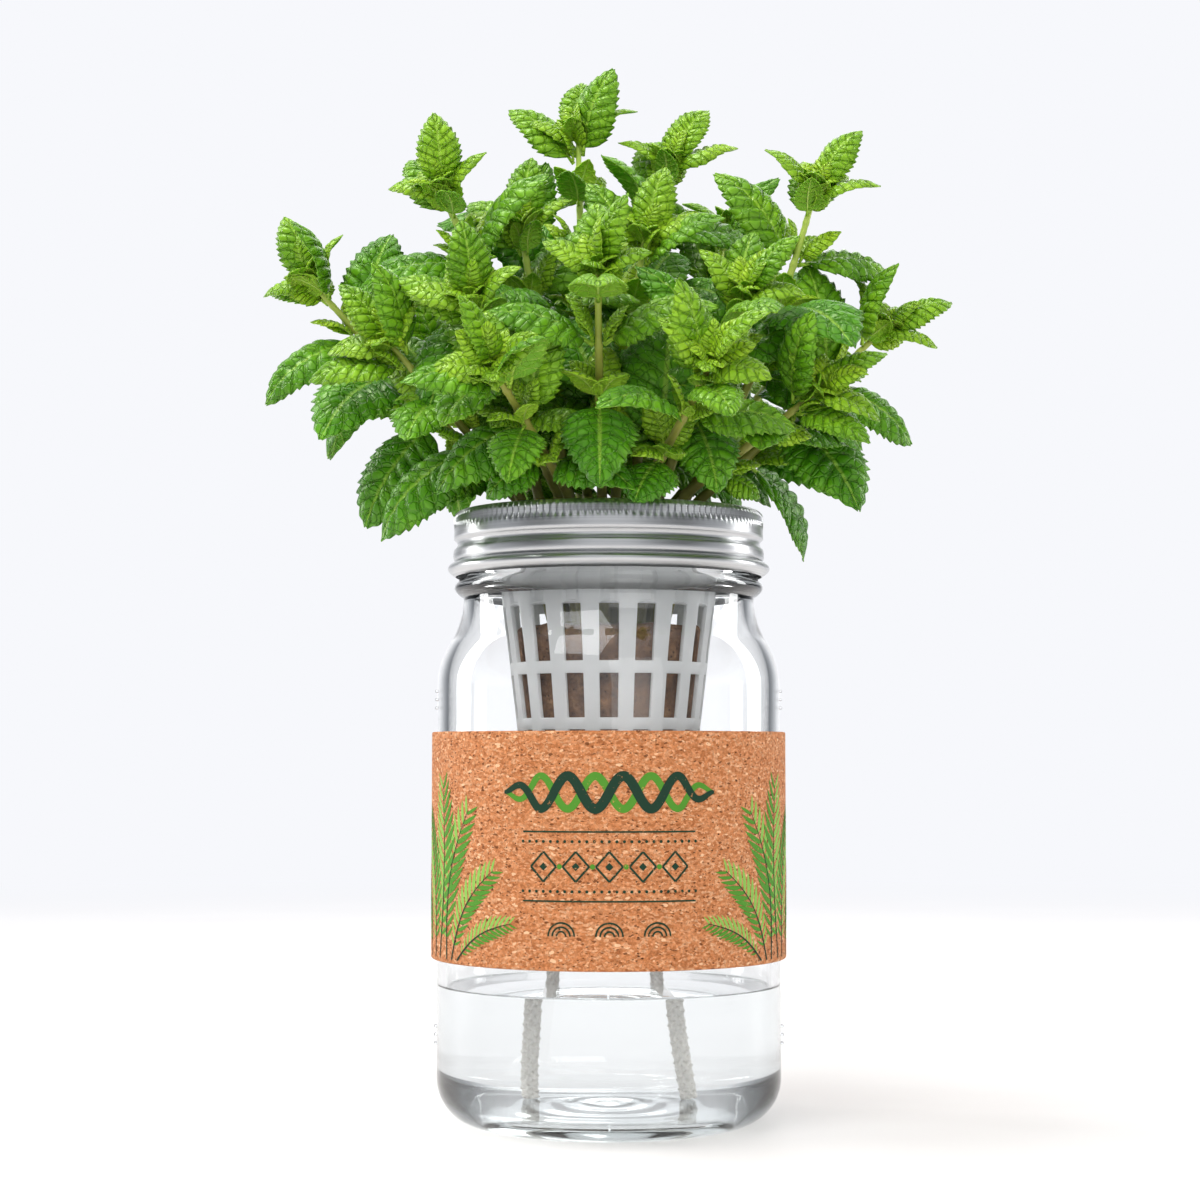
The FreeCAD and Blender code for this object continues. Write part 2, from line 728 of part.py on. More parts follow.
def main():
    os.makedirs("parts", exist_ok=True)
    parts = {
        "glass_jar": glass_jar(),
        "cork_label": cork_label(),
        "net_pot": net_pot(),
        "screw_band": screw_band(),
        "grow_plug": grow_plug(),
        "wick_left": wick("wick_left", wick_left_route),
        "wick_right": wick("wick_right", wick_right_route),
    }
    stems = [Stem(*row) for row in stem_plan_shares]
    shapes = {}
    for name, leaves in place_leaves(stems).items():
        parts["leaves_" + name] = Part.makeCompound([leaf.solid(shapes) for leaf in leaves])
    for stem in stems:
        parts["stem_" + stem.name] = stem.solid()
    for name, shape in parts.items():
        shape.exportStep("parts/" + name + ".step")
        if not shape.isValid():
            print("not valid", name)
    whole = Part.makeCompound(list(parts.values())).BoundBox
    print("nodes", len(parts), "x", round(whole.XMin, 1), round(whole.XMax, 1), "y", round(whole.YMin, 1),
          round(whole.YMax, 1), "z", round(whole.ZMin, 1), round(whole.ZMax, 1))


main()
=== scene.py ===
# %% [markdown]
# # A jar planter with a net pot, wicks and a leafy herb
# The object is a wide-mouth glass jar. A thin metal band holds a slotted plastic pot in its
# mouth, two cotton wicks lift water to a grow plug, and a cork sleeve wraps the jar's waist.
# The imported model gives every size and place. This script gives each piece its finished shape
# and its material.

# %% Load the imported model
import math
import random
import bmesh
import bpy
from mathutils import Matrix, Vector, kdtree, noise


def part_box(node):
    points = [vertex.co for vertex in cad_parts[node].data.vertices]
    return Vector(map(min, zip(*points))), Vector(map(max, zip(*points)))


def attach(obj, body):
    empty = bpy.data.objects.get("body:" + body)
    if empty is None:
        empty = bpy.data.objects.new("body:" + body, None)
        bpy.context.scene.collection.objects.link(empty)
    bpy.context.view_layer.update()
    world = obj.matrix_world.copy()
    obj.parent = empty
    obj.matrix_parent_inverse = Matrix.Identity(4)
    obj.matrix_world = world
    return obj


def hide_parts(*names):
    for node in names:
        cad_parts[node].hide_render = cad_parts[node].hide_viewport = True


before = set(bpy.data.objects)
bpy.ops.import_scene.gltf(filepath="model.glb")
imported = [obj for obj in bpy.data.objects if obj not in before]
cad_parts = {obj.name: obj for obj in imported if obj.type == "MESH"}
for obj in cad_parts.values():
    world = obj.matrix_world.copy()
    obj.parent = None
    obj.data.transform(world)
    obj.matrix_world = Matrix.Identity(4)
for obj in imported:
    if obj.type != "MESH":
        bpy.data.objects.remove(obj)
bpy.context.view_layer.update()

# %% [markdown]
# ## Units and small helpers
# Blender works in metres, and the jar's sizes are easier to read in millimetres, so `MM` turns
# one into the other. Colours are written as sRGB hex codes, which `linear` turns into the linear
# values that shaders use, and `add` puts a node in a tree and feeds its sockets.

# %% Units, colours and nodes
MM = 0.001
TURN = 2 * math.pi


def linear(code):
    """An sRGB hex colour as the linear colour that shaders use."""
    parts = [int(code[place:place + 2], 16) / 255 for place in (0, 2, 4)]
    return [part / 12.92 if part <= 0.04045 else ((part + 0.055) / 1.055) ** 2.4 for part in parts] + [1.0]


def add(tree, kind, sockets=None, stops=None, **settings):
    """Adds one shader node. A socket gets a value, a hex colour or what another node gives out."""
    node = tree.nodes.new(kind)
    for name, value in settings.items():
        setattr(node, name, value)
    for name, value in (sockets or {}).items():
        if isinstance(value, bpy.types.Node):
            value = value.outputs[0]
        if isinstance(value, bpy.types.NodeSocket):
            tree.links.new(value, node.inputs[name])
        else:
            node.inputs[name].default_value = linear(value) if isinstance(value, str) else value
    if stops:
        elements = node.color_ramp.elements
        while len(elements) < len(stops):
            elements.new(0.5)
        for element, (place, code) in zip(elements, stops):
            element.position = place
            element.color = linear(code)
    return node


def new_material(name):
    """A material whose node tree is still empty."""
    material = bpy.data.materials.new(name)
    material.use_nodes = True
    material.node_tree.nodes.clear()
    print("material", name)
    return material, material.node_tree


def clear_to_lamps(tree, surface, share):
    """Lets a share of the lamps' light through a clear surface, so that what stands inside is lit."""
    path = add(tree, "ShaderNodeLightPath")
    through = add(tree, "ShaderNodeBsdfTransparent", {"Color": (share, share, share, 1)})
    return add(tree, "ShaderNodeMixShader", {0: path.outputs["Is Shadow Ray"], 1: surface, 2: through})

# %% [markdown]
# A bmesh is edited in memory and becomes an object at the end. Edges sharper than an angle are
# marked sharp, so that the rest can be shaded smooth.

# %% From a bmesh to a finished piece
def soften(bm, degrees=35):
    """Smooth shading, with a crisp line at edges that turn more than an angle."""
    for face in bm.faces:
        face.smooth = True
    for edge in bm.edges:
        if len(edge.link_faces) == 2:
            edge.smooth = edge.calc_face_angle(0) < math.radians(degrees)


def edges_of(verts):
    """The edges that touch some vertices, each once and in a steady order."""
    return list(dict.fromkeys(edge for vertex in verts for edge in vertex.link_edges))


def faces_of(verts):
    """The faces that touch some vertices, each once and in a steady order."""
    return list(dict.fromkeys(face for vertex in verts for face in vertex.link_faces))


def finish_piece(bm, name, body, material, nodes=(), degrees=35, outward=True):
    """Turns a bmesh into a piece that rides on a body and stands for its nodes."""
    if outward:
        bmesh.ops.recalc_face_normals(bm, faces=bm.faces)
    soften(bm, degrees)
    mesh = bpy.data.meshes.new(name)
    bm.to_mesh(mesh)
    bm.free()
    piece = bpy.data.objects.new(name, mesh)
    bpy.context.collection.objects.link(piece)
    mesh.materials.append(material)
    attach(piece, body)
    if nodes:
        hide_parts(*nodes)
    print(name, "faces", len(mesh.polygons))
    return piece


# %% Lines of a profile
SAME_POINT = 1e-4
ON_AXIS = 0.01
DOUBLES = 0.002 * MM


def arc_points(centre, radius, start, end, steps):
    """Points of an arc in (radius, height), from one angle in degrees to another."""
    points = []
    for index in range(steps + 1):
        angle = math.radians(start + (end - start) * index / steps)
        points.append((centre[0] + radius * math.cos(angle), centre[1] + radius * math.sin(angle)))
    return points


def through_points(first, middle, last, steps):
    """Points of a smooth bow from one point through a middle one to the last."""
    points = []
    bend = (2 * middle[0] - (first[0] + last[0]) / 2, 2 * middle[1] - (first[1] + last[1]) / 2)
    for index in range(steps + 1):
        share = index / steps
        rest = 1 - share
        points.append(tuple(first[axis] * rest ** 2 + 2 * bend[axis] * rest * share + last[axis] * share ** 2
                            for axis in (0, 1)))
    return points


def straight_points(first, last, steps):
    """Evenly spaced points from one point to another."""
    return [(first[0] + (last[0] - first[0]) * index / steps, first[1] + (last[1] - first[1]) * index / steps)
            for index in range(steps + 1)]


def joined(*runs):
    """Runs of profile points as one line, without doubles."""
    line = []
    for run in runs:
        for point in run:
            if not line or math.dist(point, line[-1]) > SAME_POINT:
                line.append(point)
    return line


def spun(profile, steps, closed=True, angle=TURN, start=0.0):
    """A bmesh spun about the jar's axis from (radius, height) points in millimetres."""
    bm = bmesh.new()
    turn = Matrix.Rotation(start, 3, "Z")
    ring = [bm.verts.new(turn @ Vector((radius * MM, 0, height * MM))) for radius, height in profile]
    edges = [bm.edges.new(pair) for pair in zip(ring, ring[1:])]
    if closed and math.dist(profile[0], profile[-1]) > SAME_POINT and profile[0][0] > ON_AXIS:
        edges.append(bm.edges.new((ring[-1], ring[0])))
    bmesh.ops.spin(bm, geom=ring + edges, axis=(0, 0, 1), cent=(0, 0, 0), steps=steps, angle=angle,
                   use_merge=abs(angle - TURN) < SAME_POINT, use_normal_flip=False, use_duplicate=False)
    bmesh.ops.remove_doubles(bm, verts=bm.verts, dist=DOUBLES)
    return bm

# %% [markdown]
# ## The camera, the floor and the light
# The photograph was taken from in front, a little above the table, with a longish lens that
# points slightly up. The floor is plain and pale. The world is white where it is seen, also in
# and through the glass, and gives only a modest even light. The lamps do the rest.

# %% Camera
VIEW_DISTANCE = 691 * MM
EYE_HEIGHT = 105 * MM
EYE_SIDE = -2.5 * MM
EYE_PITCH = math.radians(3.66)
LENS = 71.76
SENSOR_WIDTH = 36

camera_data = bpy.data.cameras.new("camera")
camera_data.lens = LENS
camera_data.sensor_width = SENSOR_WIDTH
camera = bpy.data.objects.new("camera", camera_data)
camera.location = (EYE_SIDE, -VIEW_DISTANCE, EYE_HEIGHT)
camera.rotation_euler = (math.pi / 2 + EYE_PITCH, 0, 0)
bpy.context.collection.objects.link(camera)
scene = bpy.context.scene
scene.camera = camera
scene.view_settings.view_transform = "Standard"
print("camera lens", LENS, "distance", VIEW_DISTANCE)

# %% Floor paint
# Pale matt paint with a faint mottle. Far from the planter the floor glows as the backdrop does,
# so the two meet without a seam. The light that the glass gathers under the jar is too slow to
# trace, so the floor that is seen through the glass glows too.
FLOOR_MOTTLE = 100 * MM
FLOOR_NEAR = 0.35
FLOOR_FAR = 1.3
GATHERED_SHARE = 0.7
floor_paint, tree = new_material("pale_painted_floor")
floor_place = add(tree, "ShaderNodeTexCoord").outputs["Object"]
mottle = add(tree, "ShaderNodeTexNoise", {"Vector": floor_place, "Scale": 1 / FLOOR_MOTTLE, "Detail": 4.0})
floor_tone = add(tree, "ShaderNodeValToRGB", {"Fac": mottle}, stops=[(0.3, "DDDAD8"), (0.7, "E3E1DF")])
paint = add(tree, "ShaderNodeBsdfPrincipled", {
    "Base Color": floor_tone, "Roughness": 0.55, "Specular IOR Level": 0.25})
floor_distance = add(tree, "ShaderNodeVectorMath", {0: floor_place}, operation="LENGTH").outputs["Value"]
floor_fade = add(tree, "ShaderNodeMapRange", {
    "Value": floor_distance, "From Min": FLOOR_NEAR, "From Max": FLOOR_FAR}, interpolation_type="SMOOTHSTEP")
path = add(tree, "ShaderNodeLightPath")
gathered = add(tree, "ShaderNodeMath", {0: path.outputs["Is Transmission Ray"], 1: GATHERED_SHARE},
               operation="MULTIPLY")
glow_share = add(tree, "ShaderNodeMath", {0: floor_fade, 1: gathered}, operation="MAXIMUM")
glow = add(tree, "ShaderNodeEmission", {"Color": "F7F8FC", "Strength": 1.0})
floor_surface = add(tree, "ShaderNodeMixShader", {0: glow_share, 1: paint, 2: glow})
add(tree, "ShaderNodeOutputMaterial", {"Surface": floor_surface})

# %% Floor
FLOOR_SIZE = 6.0
FLOOR_DROP = 0.02 * MM
floor_bm = bmesh.new()
bmesh.ops.create_grid(floor_bm, x_segments=1, y_segments=1, size=FLOOR_SIZE / 2)
floor_mesh = bpy.data.meshes.new("floor")
floor_bm.to_mesh(floor_mesh)
floor_bm.free()
floor_mesh.materials.append(floor_paint)
floor = bpy.data.objects.new("floor", floor_mesh)
floor.location.z = -FLOOR_DROP
bpy.context.collection.objects.link(floor)
print("floor", FLOOR_SIZE, "m wide")

# %% World
# The camera sees a white backdrop. Rays that leave the glass or the metal meet a studio with a
# white back and ceiling and dim sides, and all other rays get a modest even light.
EVEN_LIGHT = 0.60
STUDIO_LIGHT = 1.25
# The share of the way that a ray points to the front or up, where a fade starts and where it ends.
FRONT_FADE = (0.2, 0.9)
CEILING_FADE = (0.75, 0.95)
FRONT_GREY = 0.5
world = bpy.data.worlds.new("studio")
scene.world = world
world.use_nodes = True
tree = world.node_tree
tree.nodes.clear()
path = add(tree, "ShaderNodeLightPath")
sky = add(tree, "ShaderNodeTexCoord")
sky_way = add(tree, "ShaderNodeSeparateXYZ", {"Vector": sky.outputs["Generated"]})
side_way = add(tree, "ShaderNodeMath", {0: sky_way.outputs["X"]}, operation="ABSOLUTE")
studio_sides = add(tree, "ShaderNodeValToRGB", {"Fac": side_way},
                   stops=[(0.28, "F7F8FC"), (0.54, "84878C"), (0.82, "1A1C1E"), (0.97, "A8ABB0")])
front_way = add(tree, "ShaderNodeMapRange", {
    "Value": sky_way.outputs["Y"], "From Min": -FRONT_FADE[0], "From Max": -FRONT_FADE[1]},
    interpolation_type="SMOOTHSTEP")
front_share = add(tree, "ShaderNodeMath", {0: front_way, 1: FRONT_GREY}, operation="MULTIPLY")
studio_walls = add(tree, "ShaderNodeMix", {0: front_share, 6: studio_sides, 7: "9A9DA0"},
                   data_type="RGBA").outputs[2]
ceiling_share = add(tree, "ShaderNodeMapRange", {
    "Value": sky_way.outputs["Z"], "From Min": CEILING_FADE[0], "From Max": CEILING_FADE[1]},
    interpolation_type="SMOOTHSTEP")
studio = add(tree, "ShaderNodeMix", {0: ceiling_share, 6: studio_walls, 7: "FFFFFF"},
             data_type="RGBA").outputs[2]
even = add(tree, "ShaderNodeBackground", {"Color": "F6F6F8", "Strength": EVEN_LIGHT})
around = add(tree, "ShaderNodeBackground", {"Color": studio, "Strength": STUDIO_LIGHT})
backdrop = add(tree, "ShaderNodeBackground", {"Color": "F7F8FC", "Strength": 1.0})
bounced = add(tree, "ShaderNodeMath", {
    0: path.outputs["Is Glossy Ray"], 1: path.outputs["Is Transmission Ray"]}, operation="MAXIMUM")
lit = add(tree, "ShaderNodeMixShader", {0: bounced, 1: even, 2: around})
seen = add(tree, "ShaderNodeMixShader", {0: path.outputs["Is Camera Ray"], 1: lit, 2: backdrop})
add(tree, "ShaderNodeOutputWorld", {"Surface": seen})
print("world", world.name)

# %% Lamps
# The key and front lamps stay out of reflections, where they would show as squares on the glass.
# The two strips beside the jar draw the light lines on its shoulders.
LAMPS = [
    # name, place, aims at height, width, height, power, shows in reflections
    ("key_lamp", (-0.525, -1.125, 1.625), 0.20, 1.05, 1.05, 18.8, False),
    ("front_lamp", (0.675, -1.95, 0.615), 0.12, 1.35, 1.35, 11.0, False),
    ("left_strip", (-0.95, 0.42, 0.50), 0.20, 0.24, 1.00, 5.5, True),
    ("right_strip", (0.95, 0.42, 0.50), 0.20, 0.24, 1.00, 4.5, True),
    ("top_lamp", (-0.675, -0.075, 1.765), 0.22, 0.675, 0.675, 17.0, True),
    ("rear_lamp", (0.30, 1.00, 0.95), 0.20, 0.70, 0.70, 3.5, True),
]


def area_lamp(name, place, aim_height, width, height, power, shows):
    """A soft lamp that looks at the planter."""
    data = bpy.data.lights.new(name, "AREA")
    data.shape = "RECTANGLE"
    data.size = width
    data.size_y = height
    data.energy = power
    lamp = bpy.data.objects.new(name, data)
    lamp.location = place
    lamp.rotation_euler = (Vector((0, 0, aim_height)) - Vector(place)).to_track_quat("-Z", "Y").to_euler()
    lamp.visible_glossy = shows
    lamp.visible_camera = False
    bpy.context.collection.objects.link(lamp)


for lamp_row in LAMPS:
    area_lamp(*lamp_row)
print("lamps", len(LAMPS))

# %% [markdown]
# ## The wicks
# Each wick is a limp braided cotton cord. Its route is the same one as in the solid:
# out of the pot's floor, down through the water and apart, to a cut end just above the glass.
# A smooth curve follows those points, and five pairs of strands wind round it, one of each pair
# to the left and one to the right, so that they cross as a braid does.

# %% Wick routes
WICK_DIAMETER = 4.4 * MM
ROUTE_STEPS = 24
ROUNDING = 1e-12
WICK_ROUTES = {
    "wick_left": [(-12.5, 0, 97.5), (-12.5, 0, 84.0), (-14.0, 1.4, 62.0), (-16.0, 0.6, 43.0),
                  (-16.6, -0.8, 28.0), (-17.2, 0.2, 15.5), (-16.8, 0.7, 6.8)],
    "wick_right": [(12.5, 0, 97.5), (12.5, 0, 84.0), (12.8, -1.4, 62.0), (13.6, -0.6, 43.0),
                   (14.6, 0.6, 28.0), (16.2, 0.2, 15.5), (17.3, -0.5, 6.8)],
}


def smooth_route(points):
    """Evenly read points of the smooth curve that the route's points control."""
    curve = bpy.data.curves.new("route", "CURVE")
    curve.dimensions = "3D"
    spline = curve.splines.new("NURBS")
    spline.points.add(len(points) - 1)
    for spot, point in zip(spline.points, points):
        spot.co = (point[0] * MM, point[1] * MM, point[2] * MM, 1)
    spline.order_u = 3
    spline.use_endpoint_u = True
    spline.resolution_u = ROUTE_STEPS
    holder = bpy.data.objects.new("route", curve)
    mesh = bpy.data.meshes.new_from_object(holder)
    line = [vertex.co.copy() for vertex in mesh.vertices]
    bpy.data.objects.remove(holder)
    bpy.data.curves.remove(curve)
    bpy.data.meshes.remove(mesh)
    return line


def line_length(line):
    """The length of a line of points."""
    return sum((second - first).length for first, second in zip(line, line[1:]))


def even_points(line, count):
    """The same line with evenly spaced points."""
    step = line_length(line) / (count - 1)
    points = [line[0].copy()]
    walked = 0.0
    for first, second in zip(line, line[1:]):
        run = (second - first).length
        while len(points) < count and walked + run >= step * len(points) - ROUNDING:
            share = (step * len(points) - walked) / run
            points.append(first.lerp(second, min(share, 1.0)))
        walked += run
    while len(points) < count:
        points.append(line[-1].copy())
    return points

# %% Wick material
# Bleached cotton yarn: soft and matt, some tufts a little greyer, with a faint sheen. Single
# fibres are too fine to show, so the pattern is drawn as tufts of about a millimetre.
COTTON_TUFT = 1.0 * MM
FUZZ_DEPTH = 0.15 * MM
wick_cotton, tree = new_material("bleached_cotton_braid")
wick_spot = add(tree, "ShaderNodeTexCoord").outputs["Object"]
tufts = add(tree, "ShaderNodeTexNoise", {
    "Vector": wick_spot, "Scale": 1 / COTTON_TUFT, "Detail": 5.0, "Roughness": 0.7})
cotton_tone = add(tree, "ShaderNodeValToRGB", {"Fac": tufts},
                  stops=[(0.25, "C8C4BC"), (0.5, "E0DDD7"), (0.75, "ECE9E4")])
fuzz = add(tree, "ShaderNodeBump", {"Strength": 0.5, "Distance": FUZZ_DEPTH, "Height": tufts})
cotton = add(tree, "ShaderNodeBsdfPrincipled", {
    "Base Color": cotton_tone, "Roughness": 0.9, "Sheen Weight": 0.25, "Specular IOR Level": 0.2,
    "Normal": fuzz})
add(tree, "ShaderNodeOutputMaterial", {"Surface": cotton})

# %% Braid the strands
STRAND_PAIRS = 5
BRAID_PITCH = 13 * MM
RINGS = 96
STRAND_RADIUS = WICK_DIAMETER * 0.15
STRAND_SIDES = 8
CORE_SIDES = 12
STRAND_INSET = STRAND_RADIUS * 1.5
CORE_INSET = STRAND_RADIUS * 1.6
WEAVE_DEPTH = STRAND_RADIUS * 0.45


def add_tube(bm, points, radius, sides):
    """A round strand along points: a circle is extruded from point to point, then closed."""
    turn = (points[1] - points[0]).to_track_quat("Z", "Y").to_matrix().to_4x4()
    made = bmesh.ops.create_circle(bm, cap_ends=False, segments=sides, radius=radius,
                                   matrix=Matrix.Translation(points[0]) @ turn)
    edges = edges_of(made["verts"])
    first_ring = list(edges)
    before = (points[1] - points[0]).normalized()
    for index in range(1, len(points)):
        ahead = points[min(index + 1, len(points) - 1)] - points[index - 1]
        ahead.normalize()
        grown = bmesh.ops.extrude_edge_only(bm, edges=edges)
        ring = [part for part in grown["geom"] if isinstance(part, bmesh.types.BMVert)]
        edges = [part for part in grown["geom"] if isinstance(part, bmesh.types.BMEdge)]
        swing = before.rotation_difference(ahead).to_matrix().to_4x4()
        move = Matrix.Translation(points[index]) @ swing @ Matrix.Translation(-points[index - 1])
        bmesh.ops.transform(bm, matrix=move, verts=ring)
        before = ahead
    bmesh.ops.contextual_create(bm, geom=first_ring)
    bmesh.ops.contextual_create(bm, geom=edges)


def braid(name, route):
    """One wick: crossing strands round a smooth line."""
    line = smooth_route(route)
    length = line_length(line)
    points = even_points(line, RINGS)
    bm = bmesh.new()
    for pair in range(STRAND_PAIRS):
        for hand in (1, -1):
            strand = []
            for index, point in enumerate(points):
                ahead = points[min(index + 1, RINGS - 1)] - points[max(index - 1, 0)]
                side = ahead.cross(Vector((0, 1, 0))).normalized()
                front = side.cross(ahead).normalized()
                walked = length * index / (RINGS - 1)
                angle = hand * TURN * walked / BRAID_PITCH + TURN * pair / STRAND_PAIRS
                weave = math.cos(angle * STRAND_PAIRS) * hand * WEAVE_DEPTH
                reach = WICK_DIAMETER / 2 - STRAND_INSET + weave
                strand.append(point + (side * math.cos(angle) + front * math.sin(angle)) * reach)
            add_tube(bm, strand, STRAND_RADIUS, STRAND_SIDES)
    add_tube(bm, points, WICK_DIAMETER / 2 - CORE_INSET, CORE_SIDES)
    piece = finish_piece(bm, name + "_braid", "insert", wick_cotton, [name], 80)
    print(name, "length", round(length / MM, 1))
    return piece


for wick_name, wick_route in WICK_ROUTES.items():
    braid(wick_name, wick_route)

# %% [markdown]
# ## The glass jar
# A jar like this is blown in a mould: its walls are a few millimetres thick, the heel is round
# and the base is pushed up inside a foot ring. One closed profile, outside and inside, is spun
# about the axis. The thread is a ridge that climbs round the neck, pulled out of the spun
# surface. The glass takes a faint tint over long ways, which draws the darker lines at its edges.

# %% Jar sizes
jar_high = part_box("glass_jar")[1]
JAR_HEIGHT = jar_high[2] / MM
JAR_RADIUS = jar_high[1] / MM
GLASS_WALL = 3.0
FLOOR_HEIGHT = 6.0
HEEL_RADIUS = 13.0
FOOT_RING = 1.6
NECK_RADIUS = 42.0
FINISH_RADIUS = 41.2
NECK_WALL = 4.0
SHOULDER_LOW = 124.5
SHOULDER_TOP = 149.0
BEAD_HEIGHT = 152.4
BEAD_PROUD = 2.6
BEAD_HALF = 2.9
RIM_ROUND = 1.0
THREAD_PITCH = 4.6
THREAD_TURNS = 1.3
THREAD_START = JAR_HEIGHT - 12.0
THREAD_PROUD = 1.5
THREAD_HALF = 1.1
THREAD_FADE = 0.06
FINISH_STEP = 0.6
SHOULDER_BOW_SHARE = 1 / 8
SHOULDER_STEPS = 12
print("jar", round(JAR_HEIGHT, 1), "mm high, radius", round(JAR_RADIUS, 1))


def shoulder_line(inset):
    """The double bow between the body and the neck."""
    low = (JAR_RADIUS - inset, SHOULDER_LOW)
    high = (NECK_RADIUS - inset, SHOULDER_TOP)
    middle = ((low[0] + high[0]) / 2, (low[1] + high[1]) / 2)
    bow = (low[0] - high[0]) * SHOULDER_BOW_SHARE
    lower = ((low[0] + middle[0]) / 2 + bow, (low[1] + middle[1]) / 2)
    upper = ((middle[0] + high[0]) / 2 - bow, (middle[1] + high[1]) / 2)
    return joined(through_points(low, lower, middle, SHOULDER_STEPS),
                  through_points(middle, upper, high, SHOULDER_STEPS))


# %% Glass material
# Soda-lime glass: very smooth, IOR 1.5, nearly colourless, with slow ripples from its mould. A
# long way through the wall at the jar's edges takes some light, so those edges look grey.
GLASS_RIPPLE = 14 * MM
GLASS_RIPPLE_DEPTH = 0.12 * MM
clear_glass, tree = new_material("soda_lime_glass")
glass_spot = add(tree, "ShaderNodeTexCoord").outputs["Object"]
ripple = add(tree, "ShaderNodeTexNoise", {"Vector": glass_spot, "Scale": 1 / GLASS_RIPPLE, "Detail": 1.0})
ripple_bump = add(tree, "ShaderNodeBump", {
    "Strength": 0.25, "Distance": GLASS_RIPPLE_DEPTH, "Height": ripple})
glass = add(tree, "ShaderNodeBsdfPrincipled", {
    "Base Color": "FFFFFF", "Roughness": 0.0, "IOR": 1.5, "Transmission Weight": 1.0, "Normal": ripple_bump})
glass_tint = add(tree, "ShaderNodeVolumeAbsorption", {"Color": "C4CCCA", "Density": 27.0})
add(tree, "ShaderNodeOutputMaterial", {"Surface": clear_to_lamps(tree, glass, 0.99), "Volume": glass_tint})

# %% The jar's floor and foot
foot_outer = JAR_RADIUS - HEEL_RADIUS
foot_inner = foot_outer - FOOT_RING
inner_radius = JAR_RADIUS - GLASS_WALL
inner_heel = HEEL_RADIUS - GLASS_WALL
rim_inner = NECK_RADIUS - NECK_WALL
PUNT_HEIGHT = 3.3
PUNT_POWER = 3.5
MOULD_RING = 0.3
MOULD_RING_PITCH = 6.5
FLOOR_CROWN = 0.5
FLOOR_CROWN_RADIUS = 30
FLOOR_KNOB = 1.3
FLOOR_KNOB_RADIUS = 11
FLOOR_STEPS = 32


def punt_point(share):
    """The jar's underside, hollowed a little, with the soft rings that its mould leaves."""
    ring = MOULD_RING * math.cos(TURN * share * foot_inner / MOULD_RING_PITCH) * (1 - share)
    return share * foot_inner, PUNT_HEIGHT * (1 - share ** PUNT_POWER) + ring


def floor_point(share, drop=0.0):
    """The jar's inner floor: nearly flat, with a low swelling in its middle."""
    radius = share * (inner_radius - inner_heel)
    crown = FLOOR_CROWN * max(0.0, 1 - (radius / FLOOR_CROWN_RADIUS) ** 2)
    knob = FLOOR_KNOB * max(0.0, 1 - (radius / FLOOR_KNOB_RADIUS) ** 2) ** 2
    return radius, FLOOR_HEIGHT + crown + knob - drop


print("jar floor", round(floor_point(0)[1], 1), "mm up in its middle, foot ring to", round(foot_outer, 1))

# %% Spin the jar
JAR_STEPS = 192
outside = joined(
    [punt_point(step / FLOOR_STEPS) for step in range(FLOOR_STEPS + 1)],
    straight_points((foot_inner, 0), (foot_outer, 0), 2),
    arc_points((foot_outer, HEEL_RADIUS), HEEL_RADIUS, -90, 0, 18),
    straight_points((JAR_RADIUS, HEEL_RADIUS), (JAR_RADIUS, SHOULDER_LOW), 30),
    shoulder_line(0),
    straight_points((NECK_RADIUS, SHOULDER_TOP), (NECK_RADIUS, BEAD_HEIGHT - BEAD_HALF), 2),
    through_points((NECK_RADIUS, BEAD_HEIGHT - BEAD_HALF), (NECK_RADIUS + BEAD_PROUD, BEAD_HEIGHT),
                   (NECK_RADIUS, BEAD_HEIGHT + BEAD_HALF), 10),
    straight_points((FINISH_RADIUS, BEAD_HEIGHT + BEAD_HALF + FINISH_STEP),
                    (FINISH_RADIUS, JAR_HEIGHT - RIM_ROUND), 48),
    arc_points((FINISH_RADIUS - RIM_ROUND, JAR_HEIGHT - RIM_ROUND), RIM_ROUND, 0, 90, 5))
inside = joined(
    arc_points((rim_inner + RIM_ROUND, JAR_HEIGHT - RIM_ROUND), RIM_ROUND, 90, 180, 5),
    straight_points((rim_inner, JAR_HEIGHT - RIM_ROUND), (rim_inner, SHOULDER_TOP + GLASS_WALL), 6),
    [(NECK_RADIUS - GLASS_WALL, SHOULDER_TOP)],
    list(reversed(shoulder_line(GLASS_WALL))),
    straight_points((inner_radius, SHOULDER_LOW), (inner_radius, FLOOR_HEIGHT + inner_heel), 30),
    arc_points((inner_radius - inner_heel, FLOOR_HEIGHT + inner_heel), inner_heel, 0, -90, 16),
    [floor_point(1 - step / FLOOR_STEPS) for step in range(FLOOR_STEPS + 1)])
jar_bm = spun(joined(outside, inside), JAR_STEPS, closed=False)
print("jar rings", len(joined(outside, inside)))

# %% Pull out the thread
THREAD_LOW = BEAD_HEIGHT + BEAD_HALF + 1
THREAD_HIGH = JAR_HEIGHT - 1.5
THREAD_BLUNTNESS = 0.7
SURFACE_REACH = 0.05


def thread_rise(angle, height):
    """How far the thread stands out at an angle and a height."""
    best = 0.0
    for turn in range(math.ceil(THREAD_TURNS) + 1):
        walked = (angle / TURN) % 1.0 + turn
        if walked > THREAD_TURNS:
            continue
        fade = min(1.0, walked / THREAD_FADE, (THREAD_TURNS - walked) / THREAD_FADE)
        level = THREAD_START + walked * THREAD_PITCH
        offset = abs(height - level) / THREAD_HALF
        if offset < 1:
            best = max(best, fade * math.cos(offset * math.pi / 2) ** THREAD_BLUNTNESS)
    return best


